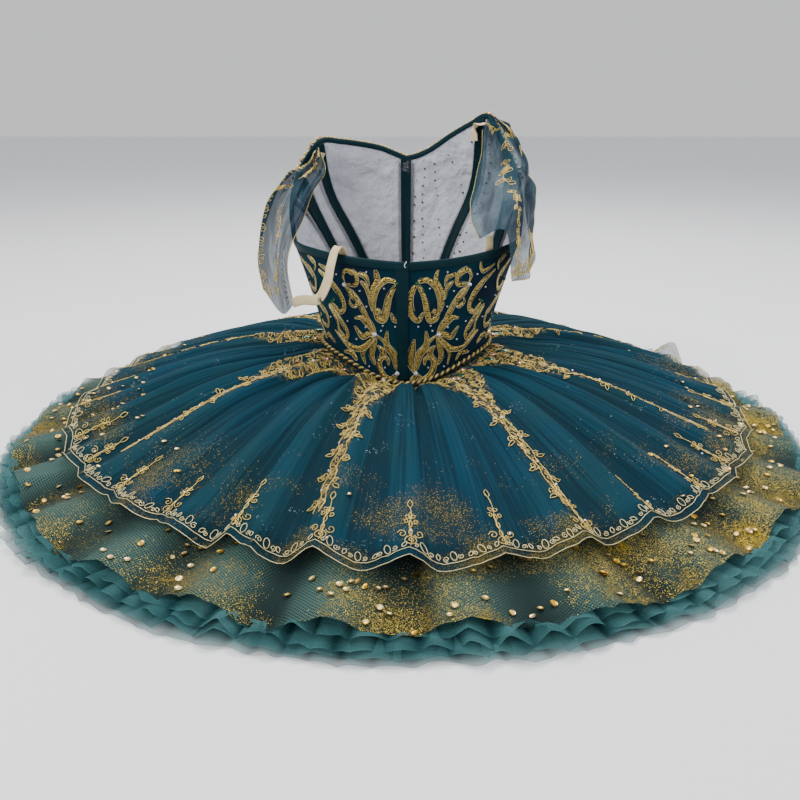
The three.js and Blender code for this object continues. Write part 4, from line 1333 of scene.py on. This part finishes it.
# %% Plan of the embroidery
SCROLLS = (
    (5.4, (0.055, 0.86), (0.012, 0.75), (0.03, 0.62), (0.09, 0.555), (0.13, 0.62)),
    (5.2, (0.075, 0.86), (0.13, 0.76), (0.165, 0.63), (0.2, 0.54), (0.245, 0.555), (0.235, 0.62), (0.205, 0.6)),
    (5.8, (0.075, 0.885), (0.15, 0.9), (0.225, 0.83), (0.262, 0.71), (0.268, 0.57)),
    (4.8, (0.23, 0.97), (0.222, 0.89), (0.268, 0.8), (0.29, 0.7), (0.284, 0.6)),
    (3.4, (0.37, 0.915), (0.315, 0.9), (0.292, 0.82)),
    (2.6, (0.355, 0.85), (0.315, 0.8), (0.303, 0.7)),
    (4.4, (0.485, 0.795), (0.4, 0.815), (0.4, 0.905), (0.46, 0.93), (0.5, 0.87), (0.492, 0.8)),
    (2.6, (0.485, 0.775), (0.41, 0.69), (0.34, 0.54), (0.287, 0.405)),
    (2.4, (0.475, 0.765), (0.43, 0.72), (0.37, 0.565), (0.298, 0.405)),
    (3.2, (0.5, 0.77), (0.465, 0.71), (0.415, 0.66), (0.44, 0.6), (0.48, 0.625), (0.468, 0.67)),
    (5.8, (0.72, 0.85), (0.62, 0.76), (0.555, 0.65), (0.55, 0.54), (0.61, 0.49), (0.66, 0.55), (0.625, 0.6)),
    (4.4, (0.7, 0.52), (0.61, 0.4), (0.565, 0.29), (0.6, 0.22), (0.655, 0.27), (0.655, 0.38), (0.71, 0.5)),
    (6.4, (0.28, 0.395), (0.325, 0.47), (0.39, 0.515), (0.455, 0.485)),
    (5.8, (0.285, 0.385), (0.35, 0.375), (0.41, 0.325), (0.47, 0.4)),
    (6.2, (0.283, 0.375), (0.345, 0.3), (0.44, 0.2), (0.57, 0.16), (0.71, 0.25)),
    (6.4, (0.278, 0.37), (0.315, 0.28), (0.335, 0.18), (0.3, 0.1)),
    (4.4, (0.29, 0.36), (0.375, 0.26), (0.425, 0.15), (0.4, 0.06)),
    (1.8, (0.27, 0.39), (0.19, 0.335), (0.115, 0.25), (0.085, 0.13)),
    (6.4, (0.075, 0.09), (0.03, 0.19), (0.04, 0.3), (0.06, 0.39)),
    (5.8, (0.085, 0.12), (0.11, 0.24), (0.175, 0.32), (0.165, 0.45)),
    (4.6, (0.085, 0.08), (0.145, 0.02), (0.225, 0.04), (0.262, 0.13), (0.22, 0.2), (0.17, 0.19), (0.165, 0.14)),
    (4.2, (0.24, 0.18), (0.215, 0.25), (0.265, 0.29)),
    (3.0, (0.08, 0.075), (0.045, 0.03), (0.075, 0.0), (0.1, 0.035)),
    (5.4, (0.985, 0.93), (0.87, 0.86), (0.8, 0.73), (0.85, 0.62), (0.92, 0.66), (0.9, 0.72)),
    (5.0, (0.98, 0.56), (0.87, 0.5), (0.78, 0.38), (0.81, 0.26), (0.9, 0.27), (0.89, 0.36)),
    (4.6, (0.74, 0.1), (0.83, 0.16), (0.93, 0.1), (0.985, 0.2)),
    (4.0, (0.56, 0.97), (0.6, 0.88), (0.7, 0.91)),
    (3.6, (0.8, 0.97), (0.745, 0.9), (0.77, 0.82)),
    (4.0, (0.49, 0.05), (0.55, 0.1), (0.64, 0.06)),
)
CLEAR_STONES = (
    (0.3, 0.94), (0.17, 0.82), (0.37, 0.76), (0.2, 0.49), (0.33, 0.63), (0.22, 0.44), (0.36, 0.43), (0.53, 0.42),
    (0.47, 0.27), (0.2, 0.11), (0.36, 0.06), (0.55, 0.86), (0.66, 0.7), (0.72, 0.38), (0.83, 0.55), (0.93, 0.44),
    (0.09, 0.5), (0.42, 0.6),
)
GREEN_STONES = ((0.065, 0.875), (0.645, 0.57), (0.9, 0.69), (0.885, 0.31))
IRIS_STONES = ((0.49, 0.785), (0.28, 0.39), (0.078, 0.085))
PLAN_LOW, PLAN_HIGH = 0.02, 0.975
PLUMP = 1.32
OUTLINE_GAP = 0.85
RIBBON_STEPS = 30


def swollen(share):
    """How a ribbon swells from a fine point to its full width and back."""
    return 0.1 + 0.9 * max(math.sin(math.pi * (0.03 + 0.95 * share) ** 0.8), 0) ** 1.1


def panel_carry(start, turn):
    """Carries plan shares on to the bodice: from an angle, by a turn in degrees over the panel's width."""
    def carry(x, y, lift):
        return on_bodice(start + turn * x, PLAN_LOW + (PLAN_HIGH - PLAN_LOW) * y, lift)

    return carry


def ribbon_frame(stops, carry, share):
    """The middle of a ribbon on the cloth, and the direction across it."""
    points = [Vector((x, y, 0)) for x, y in stops]
    here, ahead, back = (smooth_path(points, min(max(share + step, 0), 1)) for step in (0, 0.01, -0.01))
    middle = carry(here.x, here.y, 0.8)
    along = carry(ahead.x, ahead.y, 0.8) - carry(back.x, back.y, 0.8)
    outwards = Vector((middle.x, middle.y, 0)).normalized()
    return middle, along.cross(outwards).normalized(), outwards


def embroider(name, carry):
    """Lays the whole plan on one panel: raised ribbons, their outline cords, and the stones."""
    bm = bmesh.new()
    outlines = []
    for width, *stops in SCROLLS:
        shares = [step / RIBBON_STEPS for step in range(RIBBON_STEPS + 1)]
        frames = [ribbon_frame(stops, carry, share) for share in shares]
        halves = [PLUMP * width / 2 * swollen(share) for share in shares]
        made = bmesh.ops.create_grid(bm, x_segments=RIBBON_STEPS, y_segments=4, size=0.5)["verts"]
        for corner in made:
            step = round((corner.co.x + 0.5) * RIBBON_STEPS)
            side = 2 * corner.co.y
            middle, across, outwards = frames[step]
            raised = outwards * (0.75 * (1 - side * side) - 0.1)
            corner.co = middle + (across * halves[step] * side + raised) * MM
        edge = [half + OUTLINE_GAP * min(1, half / 1.3) for half in halves]
        for side in (-1, 1):
            outlines.append(([middle + across * (side * half * MM)
                              for half, (middle, across, _) in zip(edge, frames)], False))
    bmesh.ops.recalc_face_normals(bm, faces=bm.faces)
    keep_piece(name, mesh_of(name, bm), sequin_fill, "gold_trim")
    cords(name + "_outline", outlines, 0.36, pale_cord)
    beads(name + "_clear", [(carry(x, y, 1.4), 0.0013) for x, y in CLEAR_STONES], stone)
    beads(name + "_green", [(carry(x, y, 1.9), 0.0026) for x, y in GREEN_STONES], green_stone)
    beads(name + "_iris", [(carry(x, y, 2.2), 0.0029) for x, y in IRIS_STONES], stone, detail=2)


for panel, start, turn in (
    ("back_right", -89.0, 80), ("back_left", -91.0, -80), ("front_right", 88.5, -94), ("front_left", 91.5, 94),
):
    embroider("scrolls_" + panel, panel_carry(start, turn))

# %% [markdown]
# Inside, each channel's edges are overlocked in grey thread, and the stones on the right bust show their
# backs as small dark dots through the lining. A few loose threads tie the lining down in the front's notch.

# %% Overlocking, stone backs and tacks
def overlock_lines(foot, top, side):
    line = []
    for step in range(240):
        v = step / 239
        shift = side * (4.5 + 0.95 * (1 if step % 2 else -1))
        line.append(on_bodice(foot + (top - foot) * v + shift, 0.13 + 0.84 * v, -3.1))
    return line, False


cords("overlock_threads", [overlock_lines(foot, top, side) for foot, top in CHANNELS for side in (-1, 1)],
      0.38, overlock, "lining_cloth")

rng = random.Random(61)
backs = []
for row, (foot, lean) in enumerate(((42, 9), (50, 6), (60, 8), (68, 4), (76, 3), (83, 1))):
    for step in range(13):
        share = 0.42 + 0.5 * step / 12
        angle = foot + lean * math.sin(5 * share + row) + rng.uniform(-0.6, 0.6)
        if rng.random() < 0.8:
            backs.append((on_bodice(angle, share, -3.3), rng.uniform(0.0009, 0.0016)))
beads("stone_backs", backs, black_cord, "lining_cloth")

tacks = []
for step in range(9):
    x, y = rng.uniform(-1.5, 1.5), rng.uniform(-1.5, 1.5)
    points = [(90 + x + rng.uniform(-3.2, 3.2), 0.955 + 0.01 * y + rng.uniform(-0.018, 0.018)) for _ in range(6)]
    stops = [Vector((px, py, 0)) for px, py in points]
    line = [smooth_path(stops, k / 24) for k in range(25)]
    tacks.append(([on_bodice(p.x, p.y, -3.6 - 0.8 * math.sin(k)) for k, p in enumerate(line)], False))
cords("notch_tacks", tacks, 0.3, overlock, "lining_cloth")
loose_end = [
    on_bodice(-91 - 0.6 * math.sin(k * 0.6), 0.985 + 0.006 * k, 2.8 + 0.9 * math.sin(k * 0.5)) for k in range(9)
]
cords("white_thread", [(loose_end, False)], 0.55, lining_cloth, "lining_cloth", sides=1)

# %% [markdown]
# Cup sequins are little metal dishes, each sewn on by one stitch, so every one tips its own way. They are thick
# on the gilded net near the hem, and a few have strayed on to the top plate's sides. Stones mark the lace.

# %% Cup sequins and jewels of the skirt
def sequins(name, places):
    bm = bmesh.new()
    for centre, radius, tilt, heading in places:
        turn = Matrix.Rotation(heading, 4, "Z") @ Matrix.Rotation(tilt, 4, "X")
        bmesh.ops.create_cone(
            bm, cap_ends=False, segments=12, radius1=radius * 0.5, radius2=radius, depth=radius * 0.22,
            matrix=Matrix.Translation(centre) @ turn,
        )
        bmesh.ops.create_circle(
            bm, cap_ends=True, segments=12, radius=radius * 0.5,
            matrix=Matrix.Translation(centre) @ turn @ Matrix.Translation((0, 0, -radius * 0.11)),
        )
    keep_piece(name, mesh_of(name, bm), cup_sequin, "gold_trim", faceted=True)


rng = random.Random(71)
on_gold = []
while len(on_gold) < 400:
    degrees, r = rng.uniform(0, 360), rng.uniform(400, 482)
    centre = polar(r, degrees, gold_height(degrees, r) + 1.6)
    on_gold.append((centre, rng.uniform(0.0027, 0.0036), rng.uniform(-0.45, 0.45), rng.uniform(0, 6.3)))
on_top = []
while len(on_top) < 90:
    degrees, r = rng.uniform(0, 360), rng.uniform(330, 420)
    sideways = abs(math.cos(math.radians(degrees)))
    if rng.random() < sideways**2 and motif_share(degrees, r) < 0.1:
        radius, tilt, heading = rng.uniform(0.0022, 0.003), rng.uniform(-0.35, 0.35), rng.uniform(0, 6.3)
        on_top.append((on_plate(degrees, r, 1.4), radius, tilt, heading))
sequins("cup_sequins_gilded", on_gold)
sequins("cup_sequins_top", on_top)


SMALL_STONE = (0.0013, 0.0013, 0.0011)


def jewels(name, places, material):
    """Long-oval stones: balls drawn out and pressed flat, pointed by their few faces."""
    bm = bmesh.new()
    for centre, heading, size in places:
        shape = Matrix.Translation(centre) @ Matrix.Rotation(heading, 4, "Z") @ Matrix.Diagonal((*size, 1))
        bmesh.ops.create_icosphere(bm, subdivisions=2, radius=1, matrix=shape)
    keep_piece(name, mesh_of(name, bm), material, "gold_trim", faceted=True)


greens, bronzes, clears = [], [], []
for centre in MOTIFS:
    for x, r, store, size in (
        (-19, 128, greens, (0.0032, 0.0066, 0.002)), (17, 131, greens, (0.0032, 0.0066, 0.002)),
        (-3, 122, bronzes, (0.0034, 0.0052, 0.0022)), (26, 119, bronzes, (0.003, 0.004, 0.002)),
        (-29, 118, bronzes, (0.003, 0.004, 0.002)), (5, 146, clears, (0.0022, 0.0022, 0.0016)),
        (-9, 160, bronzes, (0.0026, 0.0034, 0.0018)),
    ):
        angle = centre + math.degrees(x / r)
        store.append((on_plate(angle, r, 2.4), math.radians(angle - 90 + rng.uniform(-30, 30)), size))
    for step in range(6):
        r = 190 + step * 34 + rng.uniform(-6, 6)
        angle = centre + math.degrees(rng.uniform(-7, 7) / r)
        clears.append((on_plate(angle, r, 2.3), 0, SMALL_STONE))
for number in range(SCALLOPS):
    angle = number * 360 / SCALLOPS + rng.uniform(-2, 2)
    clears.append((on_plate(angle, top_reach(angle) - rng.choice((14, 24, 38)), 2.2), 0, SMALL_STONE))
jewels("jewels_green", greens, green_stone)
jewels("jewels_bronze", bronzes, bronze_stone)
jewels("jewels_clear", clears, stone)

# %% [markdown]
# Last, the stage: a plain pale floor under the garment.

# %% Stage and finish
bm = bmesh.new()
bmesh.ops.create_grid(bm, x_segments=1, y_segments=1, size=12)
floor = bpy.data.objects.new("floor", mesh_of("floor", bm))
bpy.context.scene.collection.objects.link(floor)
floor.data.materials.append(finish_named("pale_floor", (0.84, 0.85, 0.87), 0.9)[0])
